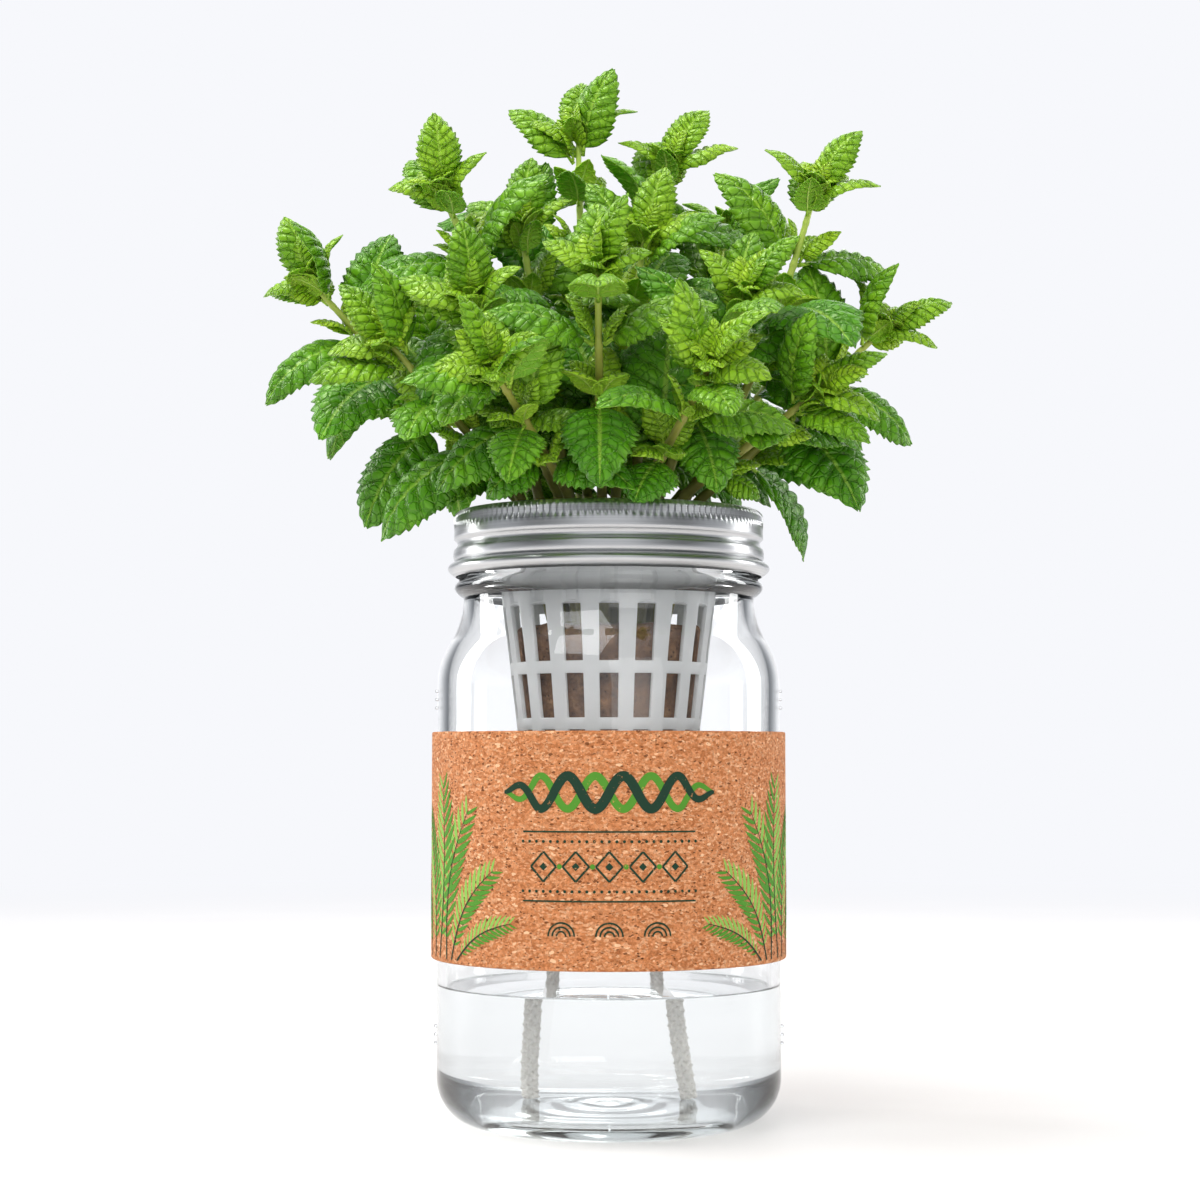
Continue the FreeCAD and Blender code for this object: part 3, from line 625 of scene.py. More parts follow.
threaded = 0
for vertex in jar_bm.verts:
    radius = math.hypot(vertex.co.x, vertex.co.y)
    height = vertex.co.z / MM
    if radius > (FINISH_RADIUS - SURFACE_REACH) * MM and THREAD_LOW < height < THREAD_HIGH:
        rise = thread_rise(math.atan2(vertex.co.y, vertex.co.x), height) * THREAD_PROUD * MM
        vertex.co.x *= 1 + rise / radius
        vertex.co.y *= 1 + rise / radius
        threaded += rise > 0
print("thread points pulled out", threaded)

# %% Raised measure marks
# Plain bars stand proud of both sides of the jar, as a mould leaves them.
MARK_LENGTH = 4.4
MARK_HEIGHT = 0.9
MARK_PROUD = 0.7
MARK_SUNK = 1.0
MARK_ROUND = 0.3
MARK_LEVELS = [22.0, 24.4, 26.8, 117.5, 119.9, 122.3]
for side in (-1, 1):
    for level in MARK_LEVELS:
        middle = side * (JAR_RADIUS + (MARK_PROUD - MARK_SUNK) / 2)
        place = Matrix.Translation((middle * MM, 0, (level + MARK_HEIGHT / 2) * MM))
        size = Matrix.Diagonal(((MARK_PROUD + MARK_SUNK) * MM, MARK_LENGTH * MM, MARK_HEIGHT * MM, 1))
        made = bmesh.ops.create_cube(jar_bm, size=1, matrix=place @ size)
        bmesh.ops.bevel(jar_bm, geom=edges_of(made["verts"]), offset=MARK_ROUND * MM,
                        offset_type="OFFSET", segments=3, profile=0.5, affect="EDGES", material=-1)
finish_piece(jar_bm, "jar_glass", "jar", clear_glass, ["glass_jar"], 50)

# %% [markdown]
# ## The water
# Water fills the foot of the jar. Its sides lie a hair inside the glass, so that no film of air
# shows between them, and its top climbs a little at the wall.

# %% Water material
# Still tap water: IOR 1.33, colourless, with the slightest slow ripple on it.
WATER_RIPPLE = 22 * MM
WATER_RIPPLE_DEPTH = 0.05 * MM
water_material, tree = new_material("still_water")
water_spot = add(tree, "ShaderNodeTexCoord").outputs["Object"]
water_noise = add(tree, "ShaderNodeTexNoise", {
    "Vector": water_spot, "Scale": 1 / WATER_RIPPLE, "Detail": 0.0})
water_bump = add(tree, "ShaderNodeBump", {
    "Strength": 0.2, "Distance": WATER_RIPPLE_DEPTH, "Height": water_noise})
still_water = add(tree, "ShaderNodeBsdfPrincipled", {
    "Base Color": "FDFFFF", "Roughness": 0.0, "IOR": 1.33, "Transmission Weight": 1.0, "Normal": water_bump})
add(tree, "ShaderNodeOutputMaterial", {"Surface": clear_to_lamps(tree, still_water, 0.99)})

# %% Fill in the water
WATER_LEVEL = 39.0
WALL_BITE = 0.06
MENISCUS_RISE = 0.6
MENISCUS_RUN = 1.1
WATER_STEPS = 128
water_wall = inner_radius + WALL_BITE
heel_centre = (inner_radius - inner_heel, FLOOR_HEIGHT + inner_heel)
water_edge = (water_wall, WATER_LEVEL + MENISCUS_RISE)
water_flat = (water_wall - MENISCUS_RUN, WATER_LEVEL)
water_profile = joined(
    [floor_point(step / FLOOR_STEPS, WALL_BITE) for step in range(FLOOR_STEPS + 1)],
    arc_points(heel_centre, inner_heel + WALL_BITE, -90, 0, 16),
    straight_points((water_wall, FLOOR_HEIGHT + inner_heel), water_edge, 8),
    through_points(water_edge, (water_wall - 0.3, WATER_LEVEL + 0.15), water_flat, 6),
    straight_points(water_flat, (0, WATER_LEVEL), 6))
water_bm = spun(water_profile, WATER_STEPS, closed=False)
finish_piece(water_bm, "water", "jar", water_material, degrees=60)

# %% [markdown]
# ## The screw band
# The band is rolled from thin tinned steel: a flat lip, a tight corner with a knurled strip, a
# thread groove, a bulge and a curled hem. Its section is one thin skin with an outside and an
# inside, spun about the axis. The knurls are pressed in by moving the strip's points.

# %% Band material
# Satin rolled steel: a soft mirror, drawn out round the band by fine rolling marks.
ROLLING_MARK = 0.35 * MM
ROLLING_RUN = 167 * MM
MARK_DEPTH = 0.05 * MM
band_steel, tree = new_material("rolled_tinned_steel")
band_spot = add(tree, "ShaderNodeTexCoord").outputs["Object"]
drawn_out = add(tree, "ShaderNodeMapping", {
    "Vector": band_spot, "Scale": (1 / ROLLING_RUN, 1 / ROLLING_RUN, 1 / ROLLING_MARK)})
marks = add(tree, "ShaderNodeTexNoise", {
    "Vector": drawn_out, "Scale": 1.0, "Detail": 3.0, "Roughness": 0.6})
steel_tone = add(tree, "ShaderNodeValToRGB", {"Fac": marks}, stops=[(0.3, "B4B5B6"), (0.7, "CFD0D1")])
steel_gloss = add(tree, "ShaderNodeMapRange", {"Value": marks, "To Min": 0.24, "To Max": 0.36})
steel_bump = add(tree, "ShaderNodeBump", {"Strength": 0.12, "Distance": MARK_DEPTH, "Height": marks})
steel = add(tree, "ShaderNodeBsdfPrincipled", {
    "Base Color": steel_tone, "Metallic": 1.0, "Roughness": steel_gloss, "Normal": steel_bump})
add(tree, "ShaderNodeOutputMaterial", {"Surface": steel})

# %% Spin the band
band_low, band_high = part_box("screw_band")
BAND_TOP = band_high[2] / MM
BAND_BOTTOM = band_low[2] / MM
HEM_RADIUS = band_high[0] / MM
BAND_RADIUS = 44.7
BAND_WALL = 0.5
BAND_OPENING = 38.2
BAND_CORNER = 1.9
GROOVE_HEIGHT = 9.5
GROOVE_DEPTH = 1.0
GROOVE_HALF = 1.55
BULGE_PROUD = 0.25
HEM_HEIGHT = 4.7
KNURLS = 140
KNURL_STEPS = 4
KNURL_DEPTH = 0.6
KNURL_HEIGHT = 4.9
KNURL_MARGIN = 0.4
KNURL_CORNER_SHARE = 0.75
KNURL_TOP = 0.1
KNURL_FADE_LOW = 0.7
KNURL_FADE_TOP = 0.6


def band_skin(inset, steps):
    """The band's line from the lip's edge to the hem, set in by an inset."""
    side = BAND_RADIUS - inset
    top = BAND_TOP - inset
    corner = BAND_CORNER - inset
    groove = BAND_TOP - GROOVE_HEIGHT
    hem_top = BAND_BOTTOM + HEM_HEIGHT
    turn = side - GROOVE_DEPTH / 2
    knurl_end = (side, BAND_TOP - KNURL_HEIGHT - KNURL_MARGIN)
    return joined(
        straight_points((BAND_OPENING, top), (side - corner, top), 4),
        arc_points((side - corner, top - corner), corner, 90, 0, steps),
        straight_points((side, top - corner), knurl_end, 5),
        straight_points(knurl_end, (side, groove + GROOVE_HALF), 3),
        through_points((side, groove + GROOVE_HALF), (side - GROOVE_DEPTH, groove),
                       (side, groove - GROOVE_HALF), 12),
        through_points((side, groove - GROOVE_HALF),
                       (side + BULGE_PROUD, (groove - GROOVE_HALF + hem_top) / 2), (side, hem_top), 6),
        [(turn, hem_top - GROOVE_HALF / 4)],
        through_points((turn, hem_top - GROOVE_HALF / 4), (HEM_RADIUS - inset, BAND_BOTTOM + HEM_HEIGHT / 2),
                       (turn + inset, BAND_BOTTOM + inset), 14))


band_profile = joined(band_skin(0, 7), list(reversed(band_skin(BAND_WALL, 5))))
band_bm = spun(band_profile, KNURLS * KNURL_STEPS)
for vertex in band_bm.verts:
    depth = BAND_TOP - vertex.co.z / MM
    radius = math.hypot(vertex.co.x, vertex.co.y)
    if depth < KNURL_HEIGHT and radius > (BAND_RADIUS - BAND_CORNER * KNURL_CORNER_SHARE) * MM:
        angle = math.atan2(vertex.co.y, vertex.co.x)
        wave = 0.5 - 0.5 * math.cos(angle * KNURLS)
        fade_low = (KNURL_HEIGHT - depth) / KNURL_FADE_LOW
        fade_top = max(0.0, (depth - KNURL_TOP) / KNURL_FADE_TOP)
        fade = min(1.0, fade_low, fade_top)
        share = 1 - KNURL_DEPTH * wave * fade * MM / radius
        vertex.co.x *= share
        vertex.co.y *= share
finish_piece(band_bm, "band_steel", "band", band_steel, ["screw_band"], 60)

# %% [markdown]
# ## The net pot
# The pot is moulded in white polypropylene. A single skin is spun with steps that match the
# ribs, the windows and the floor's slots are taken out face by face, and a Solidify and a small
# Bevel give the wall and its soft moulded edges.

# %% Net pot material
# Polypropylene: satin, milky, and a little light comes through the thin wall.
POT_MOTTLE = 11 * MM
POT_GRAIN_DEPTH = 0.05 * MM
POT_GLOW = 2 * MM
THIN_SHARE = 0.35
pot_plastic, tree = new_material("moulded_polypropylene")
pot_spot = add(tree, "ShaderNodeTexCoord").outputs["Object"]
pot_noise = add(tree, "ShaderNodeTexNoise", {"Vector": pot_spot, "Scale": 1 / POT_MOTTLE, "Detail": 3.0})
pot_tone = add(tree, "ShaderNodeValToRGB", {"Fac": pot_noise}, stops=[(0.3, "DFE1E1"), (0.7, "E9EAEA")])
pot_bump = add(tree, "ShaderNodeBump", {"Strength": 0.08, "Distance": POT_GRAIN_DEPTH, "Height": pot_noise})
plastic = add(tree, "ShaderNodeBsdfPrincipled", {
    "Base Color": pot_tone, "Roughness": 0.42, "Subsurface Weight": 0.25,
    "Subsurface Radius": (POT_GLOW, POT_GLOW, POT_GLOW), "Subsurface Scale": 1.0, "Normal": pot_bump})
through_light = add(tree, "ShaderNodeBsdfTranslucent", {"Color": "E9EAEA"})
thin_plastic = add(tree, "ShaderNodeMixShader", {0: THIN_SHARE, 1: plastic, 2: through_light})
add(tree, "ShaderNodeOutputMaterial", {"Surface": thin_plastic})

# %% Pot sizes
pot_low, pot_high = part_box("net_pot")
POT_BOTTOM = pot_low[2] / MM
POT_TOP = pot_high[2] / MM
FLANGE_RADIUS = pot_high[0] / MM
FLANGE_THICKNESS = 1.6
POT_SEAT = POT_TOP - FLANGE_THICKNESS
POT_WALL = 1.3
POT_FLOOR_RADIUS = 23.1
POT_MOUTH_RADIUS = 32.3
RIBS = 18
RIB_STEPS = 5
WINDOW_STEPS = 6
RING_HEIGHT = 3.2
ROW_PITCH = 15.5
ROWS = 3
SKIRT_HEIGHT = 3.4
TOP_ROW_EXTRA = 3.6
RIB_RELIEF = 0.8
FLOOR_SLOTS = 8
SLOT_LOW = 9.2
SLOT_HIGH = 15.8
SLOT_SHARES = (0.36, 0.64)
WICK_HOLE_PLACE = 12.5
WICK_HOLE_HALF = (3.4, 3.1)
POT_HEEL = 0.6
# rings of points: from the axis in the floor, above the top windows, and below the flange
FLOOR_RINGS = [0.0, 2.4, 6.0, SLOT_LOW, SLOT_HIGH, POT_FLOOR_RADIUS - 2.2, POT_FLOOR_RADIUS - POT_HEEL]
COLLAR_RINGS = [0.9, 5.0, 14.0]
FLANGE_RINGS = [2.5, 0.9]
FLANGE_CORNER = 0.8
STEPS = RIBS * (RIB_STEPS + WINDOW_STEPS)
HALF_RIB = TURN * RIB_STEPS / 2 / STEPS
RIB_SHARE = RIB_STEPS / (RIB_STEPS + WINDOW_STEPS)
print("pot steps", STEPS)


def row_span(row):
    """The lowest and highest level of one row of windows. The top row is a little taller."""
    low = POT_BOTTOM + SKIRT_HEIGHT + row * ROW_PITCH
    return low, low + ROW_PITCH - RING_HEIGHT + (TOP_ROW_EXTRA if row == ROWS - 1 else 0)


def pot_radius(height):
    """The tapered pot's radius at a height."""
    share = (height - POT_BOTTOM) / (POT_SEAT - POT_BOTTOM)
    return POT_FLOOR_RADIUS + share * (POT_MOUTH_RADIUS - POT_FLOOR_RADIUS)


def in_window(angle, height):
    """Whether a place on the pot's wall lies in one of its windows."""
    between_ribs = ((angle + HALF_RIB) / TURN * RIBS) % 1.0 > RIB_SHARE
    return between_ribs and any(row_span(row)[0] < height < row_span(row)[1] for row in range(ROWS))


def in_floor_opening(centre, angle):
    """Whether a face of the pot's floor lies in a drain slot or a wick hole."""
    if not SLOT_LOW < math.hypot(centre.x, centre.y) / MM < SLOT_HIGH:
        return False
    across = abs(abs(centre.x) / MM - WICK_HOLE_PLACE)
    in_wick_hole = across < WICK_HOLE_HALF[0] and abs(centre.y) / MM < WICK_HOLE_HALF[1]
    return in_wick_hole or SLOT_SHARES[0] < (angle / TURN * FLOOR_SLOTS) % 1.0 < SLOT_SHARES[1]


# %% Spin and open the pot
levels = [POT_BOTTOM + POT_HEEL] + [level for row in range(ROWS) for level in row_span(row)]
levels += [levels[-1] + ring for ring in COLLAR_RINGS] + [POT_SEAT - ring for ring in FLANGE_RINGS]
pot_profile = [(radius, POT_BOTTOM) for radius in FLOOR_RINGS]
pot_profile += [(pot_radius(level), level) for level in levels]
pot_profile += [(POT_MOUTH_RADIUS + FLANGE_CORNER, POT_SEAT), (FLANGE_RADIUS, POT_SEAT)]
pot_bm = spun(pot_profile, STEPS, closed=False, start=-HALF_RIB)
openings = []
for face in pot_bm.faces:
    centre = face.calc_center_median()
    angle = math.atan2(centre.y, centre.x)
    on_floor = centre.z < (POT_BOTTOM + 0.1) * MM
    is_open = in_floor_opening(centre, angle) if on_floor else in_window(angle, centre.z / MM)
    if is_open:
        openings.append(face)
print("pot openings from", len(openings), "faces")
bmesh.ops.delete(pot_bm, geom=openings, context="FACES")

# %% Rib relief and wall of the pot
# Above the windows the ribs stand a little proud of the collar.
RIB_MARGIN = 0.05
MOULDED_ROUND = 0.28
for vertex in pot_bm.verts:
    angle = math.atan2(vertex.co.y, vertex.co.x) + HALF_RIB
    between = RIB_SHARE + RIB_MARGIN < (angle / TURN * RIBS) % 1.0 < 1 - RIB_MARGIN
    if between and row_span(ROWS - 1)[1] + 0.5 < vertex.co.z / MM < POT_SEAT - 1:
        inward = 1 - RIB_RELIEF * MM / math.hypot(vertex.co.x, vertex.co.y)
        vertex.co.x *= inward
        vertex.co.y *= inward
pot = finish_piece(pot_bm, "pot_shell", "insert", pot_plastic, ["net_pot"], 35)
thicken = pot.modifiers.new("wall", "SOLIDIFY")
thicken.thickness = POT_WALL * MM
thicken.offset = -1.0
thicken.use_even_offset = True
edge_round = pot.modifiers.new("moulded_edge", "BEVEL")
edge_round.width = MOULDED_ROUND * MM
edge_round.segments = 2
edge_round.limit_method = "ANGLE"
edge_round.angle_limit = math.radians(50)

# %% [markdown]
# ## The grow plug
# The plug is pressed peat: a rough dark cone that fills the pot, with a wavy top edge, crumbs
# and small dark holes.

# %% Plug material
# Pressed peat: dark brown crumbs of a millimetre or two, matt, with darker pits between them.
CRUMB = 1.6 * MM
CRUMB_DEPTH = 0.8 * MM
plug_peat, tree = new_material("pressed_peat")
plug_spot = add(tree, "ShaderNodeTexCoord").outputs["Object"]
crumbs = add(tree, "ShaderNodeTexVoronoi", {"Vector": plug_spot, "Scale": 1 / CRUMB})
peat_noise = add(tree, "ShaderNodeTexNoise", {
    "Vector": plug_spot, "Scale": 1 / (3 * CRUMB), "Detail": 6.0, "Roughness": 0.7})
peat_tone = add(tree, "ShaderNodeValToRGB", {"Fac": peat_noise},
                stops=[(0.3, "4B3527"), (0.5, "73543C"), (0.68, "94704F")])
pits = add(tree, "ShaderNodeValToRGB", {"Fac": crumbs}, stops=[(0.08, "20140D"), (0.26, "FFFFFF")])
peat_colour = add(tree, "ShaderNodeMix", {0: 0.85, 6: peat_tone, 7: pits},
                  data_type="RGBA", blend_type="MULTIPLY").outputs[2]
peat_height = add(tree, "ShaderNodeMath", {0: crumbs, 1: 0.6, 2: peat_noise}, operation="MULTIPLY_ADD")
peat_bump = add(tree, "ShaderNodeBump", {"Strength": 0.9, "Distance": CRUMB_DEPTH, "Height": peat_height})
peat = add(tree, "ShaderNodeBsdfPrincipled", {
    "Base Color": peat_colour, "Roughness": 0.95, "Normal": peat_bump})
add(tree, "ShaderNodeOutputMaterial", {"Surface": peat})

# %% Shape the plug
plug_low, plug_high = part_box("grow_plug")
PLUG_BOTTOM = plug_low[2] / MM
PLUG_TOP = plug_high[2] / MM
PLUG_HIGH_RADIUS = plug_high[0] / MM
POT_TAPER = (POT_MOUTH_RADIUS - POT_FLOOR_RADIUS) / (POT_SEAT - POT_BOTTOM)
PLUG_LOW_RADIUS = PLUG_HIGH_RADIUS - (PLUG_TOP - PLUG_BOTTOM) * POT_TAPER
PLUG_ROUND = 2.0
PLUG_MARGIN = 0.2
PLUG_DISH = 1.0
PLUG_STEPS = 120
ROUGH_SPACING = 2.2 * MM
ROUGH_DEPTH = 0.55 * MM
ROUGH_FLOOR = 0.3 * MM
WAVE_SPACING = 7 * MM
WAVE_DEPTH = 1.3 * MM
WAVE_MIDDLE = 0.6
WAVY_EDGE = 4.0
WAVE_FADE = 3.0
ROUGH_HEEL = 0.5
corner_inset = PLUG_ROUND + PLUG_MARGIN
corner_centre = (PLUG_HIGH_RADIUS - corner_inset, PLUG_TOP - corner_inset)
plug_profile = joined(
    straight_points((0, PLUG_BOTTOM), (PLUG_LOW_RADIUS, PLUG_BOTTOM), 8),
    straight_points((PLUG_LOW_RADIUS, PLUG_BOTTOM), (PLUG_HIGH_RADIUS - PLUG_MARGIN, corner_centre[1]), 26),
    arc_points(corner_centre, PLUG_ROUND, 0, 90, 4),
    straight_points((corner_centre[0], PLUG_TOP - PLUG_MARGIN), (0, PLUG_TOP - PLUG_DISH), 14))
plug_bm = spun(plug_profile, PLUG_STEPS, closed=False)
for vertex in plug_bm.verts:
    spot = vertex.co
    rough = noise.fractal(spot / ROUGH_SPACING, 1.0, 2.0, 3)
    inward = Vector((-spot.x, -spot.y, 0))
    if inward.length > 0:
        spot += inward.normalized() * abs(rough) * ROUGH_DEPTH
    if spot.z > (PLUG_TOP - WAVY_EDGE) * MM:
        wave = noise.noise(Vector((spot.x, spot.y, 0)) / WAVE_SPACING)
        fade = min(1.0, (spot.z / MM - PLUG_TOP + WAVY_EDGE) / WAVE_FADE)
        spot.z += (wave - WAVE_MIDDLE) * WAVE_DEPTH * fade
    elif spot.z < (PLUG_BOTTOM + ROUGH_HEEL) * MM:
        spot.z += abs(rough) * ROUGH_FLOOR
finish_piece(plug_bm, "plug_body", "plant", plug_peat, ["grow_plug"], 80)

# %% [markdown]
# ## The cork sleeve
# A thin sheet of pressed cork is wrapped round the waist and butted at the back. Cork sheet is
# made of glued granules, so the colour changes from grain to grain, with pale grains, a few dark
# flecks and fine pores.

# %% Cork material
# Pressed cork: matt, in grains of a millimetre with paler and darker flecks among them.
CORK_GRAIN = 1.0 * MM
CORK_WARP = 1.4 * MM
CORK_FINE = 0.7 * MM
CORK_PORE_DEPTH = 0.12 * MM
PRESSED_FLAT = 2.0
cork_sheet, tree = new_material("pressed_cork_sheet")
cork_spot = add(tree, "ShaderNodeTexCoord").outputs["Object"]
warp_noise = add(tree, "ShaderNodeTexNoise", {
    "Vector": cork_spot, "Scale": 1 / (2 * CORK_GRAIN), "Detail": 3.0})
warped = add(tree, "ShaderNodeVectorMath", {
    0: warp_noise.outputs["Color"], 1: (CORK_WARP, CORK_WARP, CORK_WARP), 2: cork_spot},
    operation="MULTIPLY_ADD")
# The grains are pressed flat, so each one is wider than it is high.
pressed = add(tree, "ShaderNodeMapping", {"Vector": warped, "Scale": (1, 1, PRESSED_FLAT)})


def cork_cells(size):
    """Cork grains of a size: the distance from each grain's middle, and two random values of its own."""
    cells = add(tree, "ShaderNodeTexVoronoi", {"Vector": pressed, "Scale": 1 / size, "Randomness": 1.0})
    chances = add(tree, "ShaderNodeSeparateColor", {"Color": cells.outputs["Color"]})
    return cells.outputs["Distance"], chances.outputs[0], chances.outputs[1]


grain_tone = add(tree, "ShaderNodeValToRGB", {"Fac": cork_cells(CORK_GRAIN)[1]},
                 stops=[(0.0, "B26C40"), (0.3, "CC8352"), (0.7, "D69162"), (1.0, "E5AE83")])
fine = add(tree, "ShaderNodeTexNoise", {
    "Vector": cork_spot, "Scale": 1 / CORK_FINE, "Detail": 5.0, "Roughness": 0.75})
fine_tone = add(tree, "ShaderNodeValToRGB", {"Fac": fine}, stops=[(0.3, "9C9A98"), (0.6, "FFFFFF")])
cork_colour = add(tree, "ShaderNodeMix", {0: 0.85, 6: grain_tone, 7: fine_tone},
                  data_type="RGBA", blend_type="MULTIPLY").outputs[2]
FLECKS = [
    # grain size, share of the grains that are flecks, reach within a grain, strength, colour
    (2.5 * MM, 0.32, 0.30, 0.65, "F3CBA2"),
    (1.9 * MM, 0.50, 0.29, 0.85, "64371C"),
    (1.3 * MM, 0.45, 0.23, 0.90, "42210E"),
]
LEAST_REACH = 0.06
for size, part, reach, strength, code in FLECKS:
    distance, chance, other = cork_cells(size)
    edge = add(tree, "ShaderNodeMath", {0: other, 1: reach, 2: LEAST_REACH}, operation="MULTIPLY_ADD")
    near = add(tree, "ShaderNodeMath", {0: distance, 1: edge}, operation="LESS_THAN")
    chosen = add(tree, "ShaderNodeMath", {0: chance, 1: part}, operation="LESS_THAN")
    shown = add(tree, "ShaderNodeMath", {0: near, 1: chosen}, operation="MULTIPLY")
    fleck_share = add(tree, "ShaderNodeMath", {0: shown, 1: strength}, operation="MULTIPLY")
    cork_colour = add(tree, "ShaderNodeMix", {0: fleck_share, 6: cork_colour, 7: code},
                      data_type="RGBA").outputs[2]
cork_bump = add(tree, "ShaderNodeBump", {"Strength": 0.35, "Distance": CORK_PORE_DEPTH, "Height": fine})
cork = add(tree, "ShaderNodeBsdfPrincipled", {
    "Base Color": cork_colour, "Roughness": 0.85, "Specular IOR Level": 0.25, "Normal": cork_bump})
add(tree, "ShaderNodeOutputMaterial", {"Surface": cork})

# %% Wrap the sleeve
label_low, label_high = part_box("cork_label")
LABEL_BOTTOM = label_low[2] / MM
LABEL_TOP = label_high[2] / MM
LABEL_OUTER = label_high[0] / MM
CORK_THICKNESS = 1.4
LABEL_INNER = LABEL_OUTER - CORK_THICKNESS
LABEL_SEAM = 0.8
LABEL_ROUND = 0.45
LABEL_STEPS = 200
label_profile = joined(
    [(LABEL_INNER, LABEL_BOTTOM)],
    arc_points((LABEL_OUTER - LABEL_ROUND, LABEL_BOTTOM + LABEL_ROUND), LABEL_ROUND, -90, 0, 4),
    straight_points((LABEL_OUTER, LABEL_BOTTOM + LABEL_ROUND), (LABEL_OUTER, LABEL_TOP - LABEL_ROUND), 10),
    arc_points((LABEL_OUTER - LABEL_ROUND, LABEL_TOP - LABEL_ROUND), LABEL_ROUND, 0, 90, 4),
    [(LABEL_INNER, LABEL_TOP)],
    straight_points((LABEL_INNER, LABEL_TOP), (LABEL_INNER, LABEL_BOTTOM + 2), 4))
seam_angle = LABEL_SEAM / LABEL_OUTER
label_bm = spun(label_profile, LABEL_STEPS, angle=TURN - seam_angle, start=math.pi / 2 + seam_angle / 2)
seam_edges = [edge for edge in label_bm.edges if edge.is_boundary]
bmesh.ops.holes_fill(label_bm, edges=seam_edges, sides=0)
finish_piece(label_bm, "cork_sleeve", "jar", cork_sheet, ["cork_label"], 40)

# %% [markdown]
# ## The print on the sleeve
# The print is a plain ornament in three green inks: a twist of two ribbons, rules and dots, a
# row of lozenges, three small arches, and fern fronds at both sides. Each shape is a flat strip
# of a grid, bent along its line and then rolled onto the cork.

# %% Print inks
INK_SPECK = 1.2 * MM


def ink(name, code):
    """Matt printing ink that sinks a little into the cork's grain."""
    material, tree = new_material(name)
    ink_spot = add(tree, "ShaderNodeTexCoord").outputs["Object"]
    speck = add(tree, "ShaderNodeTexNoise", {
        "Vector": ink_spot, "Scale": 1 / INK_SPECK, "Detail": 4.0, "Roughness": 0.7})
    worn = add(tree, "ShaderNodeValToRGB", {"Fac": speck}, stops=[(0.28, "C98A58"), (0.36, code)])
    print_ink = add(tree, "ShaderNodeBsdfPrincipled", {
        "Base Color": worn, "Roughness": 0.8, "Specular IOR Level": 0.2})
    add(tree, "ShaderNodeOutputMaterial", {"Surface": print_ink})
    return material


INKS = {
    "dark": ink("dark_green_ink", "1F3A2B"),
    "mid": ink("mid_green_ink", "4F8A2E"),
    "light": ink("light_green_ink", "86B552"),
}

# %% Strips, discs and rolling on
PRINT_LIFT = 0.05
STRIP_PEEP = 0.004


def strip(bm, line, half_width, segments):
    """A flat strip along line(share) -> (x, z) with half_width(share), both in millimetres."""
    made = bmesh.ops.create_grid(bm, x_segments=segments, y_segments=1, size=0.5)
    for vertex in made["verts"]:
        share = vertex.co.x + 0.5
        side = vertex.co.y * 2
        here = Vector(line(share))
        ahead = Vector(line(min(share + STRIP_PEEP, 1.0))) - Vector(line(max(share - STRIP_PEEP, 0.0)))
        normal = Vector((-ahead.y, ahead.x)).normalized()
        spot = here + normal * side * half_width(share)
        vertex.co = (spot.x, 0, spot.y)


def disc(bm, x, z, radius, sides):
    """A small filled round or, with few sides, a lozenge."""
    place = Matrix.Translation((x, 0, z)) @ Matrix.Rotation(math.pi / 2, 4, "X")
    bmesh.ops.create_circle(bm, cap_ends=True, segments=sides, radius=radius, matrix=place)


def roll_on(bm, lift):
    """Rolls a flat print, x across and z up in millimetres, onto the front of the sleeve."""
    reach = LABEL_OUTER + lift
    for vertex in bm.verts:
        angle = vertex.co.x / LABEL_OUTER
        vertex.co = (reach * math.sin(angle) * MM, -reach * math.cos(angle) * MM, vertex.co.z * MM)


def print_piece(name, bm, shade, lift):
    """One ink's whole print as a piece, with every face turned outwards."""
    roll_on(bm, lift)
    for face in bm.faces:
        face.normal_update()
        centre = face.calc_center_median()
        if face.normal.dot(Vector((centre.x, centre.y, 0))) < 0:
            face.normal_flip()
    return finish_piece(bm, name, "jar", INKS[shade], outward=False)

# %% Ribbon twist
RIBBON_HALF = 30.0
RIBBON_LEVEL = 94.5
RIBBON_RISE = 4.4
RIBBON_WAVES = 4
RIBBON_FADE_SHARE = 1 / 6
RIBBON_BLUNTNESS = 0.4
RIBBON_STEPS = 160
dark_bm = bmesh.new()
mid_bm = bmesh.new()
light_bm = bmesh.new()


def ribbon_line(phase):
    """The wavy middle line of one ribbon, which runs out flat at both ends."""
    def line(share):
        fade = min(1.0, share / RIBBON_FADE_SHARE, (1 - share) / RIBBON_FADE_SHARE)
        wave = math.sin(TURN * RIBBON_WAVES * share + phase)
        return RIBBON_HALF * (2 * share - 1), RIBBON_LEVEL + RIBBON_RISE * wave * fade
    return line


def ribbon_half(least, swell):
    """A ribbon's half width, which swells towards the middle."""
    return lambda share: least + swell * math.sin(math.pi * share) ** RIBBON_BLUNTNESS


strip(dark_bm, ribbon_line(0), ribbon_half(0.35, 1.0), RIBBON_STEPS)
strip(mid_bm, ribbon_line(math.pi), ribbon_half(0.30, 0.8), RIBBON_STEPS)
print("ribbon faces", len(dark_bm.faces) + len(mid_bm.faces))

# %% Rules and dots
RULE_HALF = 24
RULE_LEVELS = [84.0, 65.5]
RULE_HALF_WIDTH = 0.22
RULE_STEPS = 60
DOT_LEVELS = [81.4, 68.1]
DOT_PITCH = 2
DOT_RADIUS = 0.42


def rule_line(level):
    """A straight line across the front of the sleeve."""
    return lambda share: (RULE_HALF * (2 * share - 1), level)


for level in RULE_LEVELS:
    strip(dark_bm, rule_line(level), lambda share: RULE_HALF_WIDTH, RULE_STEPS)
for index in range(2 * RULE_HALF // DOT_PITCH + 1):
    for level in DOT_LEVELS:
        disc(dark_bm, -RULE_HALF + DOT_PITCH * index, level, DOT_RADIUS, 12)
print("rules", len(RULE_LEVELS), "and rows of dots", len(DOT_LEVELS))

